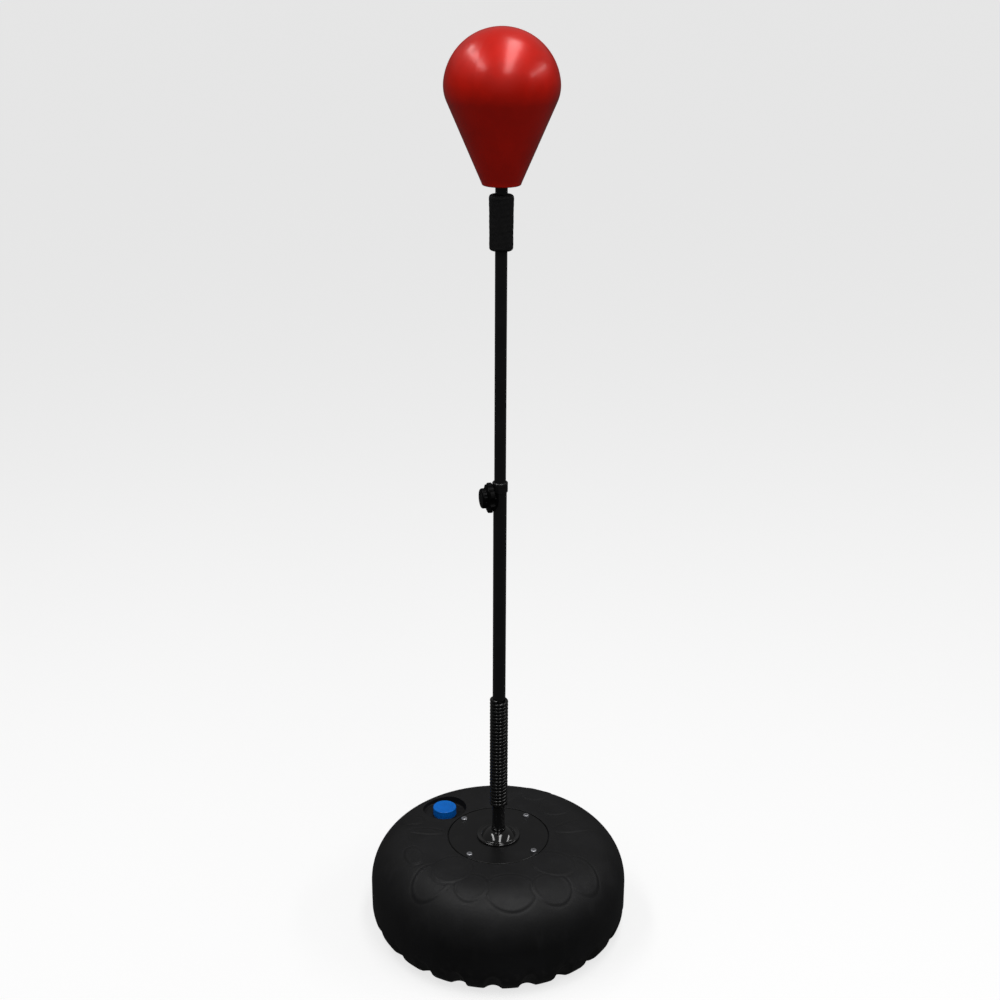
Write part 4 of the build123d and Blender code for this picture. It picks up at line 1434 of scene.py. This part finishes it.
@dataclass
class Studio:
    """Pale floor, long ceiling panels over it, a dim surround that is darker below, and the camera."""

    floor_size: float = 200.0
    floor_colour: Colour = (0.45, 0.45, 0.45)
    floor_glow: float = 0.72
    lens: float = 55.39
    eye: Colour = (0.0, -2.33, 1.6944)
    tilt: float = 20.887
    roll: float = 0.28
    above: float = 0.16
    below: float = 0.05
    strips: tuple[Strip, ...] = (
        Strip("ceiling_left", (-1.2, -0.25, 2.8), (-1.2, -0.25, 0.0), 0.4, 2.3, 18.0),
        Strip("ceiling_middle", (0.4, -0.75, 2.8), (0.4, -0.75, 0.0), 0.45, 2.4, 20.0),
        Strip("ceiling_right", (2.9, -0.25, 2.8), (2.9, -0.25, 0.0), 0.5, 2.7, 24.0),
        Strip("front_fill", (0.0, -3.6, 2.0), (0.0, 0.0, 0.9), 3.0, 2.0, 12.0, mirrored=False),
    )

    def floor(self) -> None:
        """A wide flat floor with a faint mottle."""
        half = self.floor_size / 2
        corners = np.array([[-half, -half, 0.0], [half, -half, 0.0], [half, half, 0.0], [-half, half, 0.0]])
        mesh = bpy.data.meshes.new("floor")
        mesh.from_pydata(corners.tolist(), [], [(0, 1, 2, 3)])
        made = bpy.data.objects.new("floor", mesh)
        bpy.context.scene.collection.objects.link(made)
        recipe = Recipe("floor_paper")
        base = recipe.mix(recipe.noise(0.8, 2.0), scaled(self.floor_colour, 0.98), self.floor_colour)
        made.data.materials.append(recipe.done(
            Base_Color=base,
            Roughness=0.9,
            Specular_IOR_Level=0.0,
            Emission_Color=(1.0, 1.0, 1.0),
            Emission_Strength=self.floor_glow,
        ))
        made.visible_diffuse = made.visible_glossy = False

    def world(self) -> None:
        """A surround that is pale above the horizon and dark below it."""
        world = bpy.data.worlds.new("surround")
        bpy.context.scene.world = world
        graph = Graph(world)
        way = graph.node("ShaderNodeTexCoord").outputs["Generated"]
        up = Value(graph, graph.node("ShaderNodeSeparateXYZ", inputs={0: way}).outputs["Z"])
        shade = graph.mix(up.between(0.2, 0.3), (self.below,) * 3, (self.above,) * 3)
        background = graph.node("ShaderNodeBackground", inputs={"Color": shade})
        graph.node("ShaderNodeOutputWorld", inputs={"Surface": background.outputs[0]})

    def lights(self) -> None:
        """Hangs each panel facing its aim."""
        for strip in self.strips:
            data = bpy.data.lights.new(strip.name, "AREA")
            data.shape, data.size, data.size_y = "RECTANGLE", strip.width, strip.length
            data.energy = strip.power
            lamp = bpy.data.objects.new(strip.name, data)
            lamp.location = strip.place
            towards = Vector(strip.aim) - Vector(strip.place)
            lamp.rotation_euler = towards.to_track_quat("-Z", "Y").to_euler()
            lamp.visible_glossy = strip.mirrored
            bpy.context.scene.collection.objects.link(lamp)

    def camera(self) -> None:
        """Sets the camera a little above the ball's middle, looking down along the pole."""
        data = bpy.data.cameras.new("camera")
        data.lens, data.sensor_width = self.lens, 36.0
        made = bpy.data.objects.new("camera", data)
        tilted = Matrix.Rotation(math.radians(90 - self.tilt), 4, "X")
        look = tilted @ Matrix.Rotation(math.radians(self.roll), 4, "Z")
        made.matrix_world = Matrix.Translation(self.eye) @ look
        bpy.context.scene.collection.objects.link(made)
        bpy.context.scene.camera = made

    def build(self) -> None:
        """Makes the whole studio."""
        bpy.context.scene.view_settings.view_transform = "Standard"
        self.camera()
        self.floor()
        self.world()
        self.lights()


def main() -> None:
    """Dresses the CAD nodes, builds the pieces in order from the floor up, and sets the studio."""
    logging.basicConfig(level=logging.INFO, format="%(name)s: %(message)s")
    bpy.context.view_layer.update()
    Studio().build()
    for node, finish in CAD_FINISHES.items():
        finish.on(frame["nodes"][node])
        log.info("%s: keeps its CAD mesh", node)
    assemblies = (TankBase, DomeCover, CoilSpring, ClampScrew, HandSleeve, PunchBall, FillerCap)
    for assembly in assemblies:
        assembly().build()


if __name__ == "__main__":
    main()
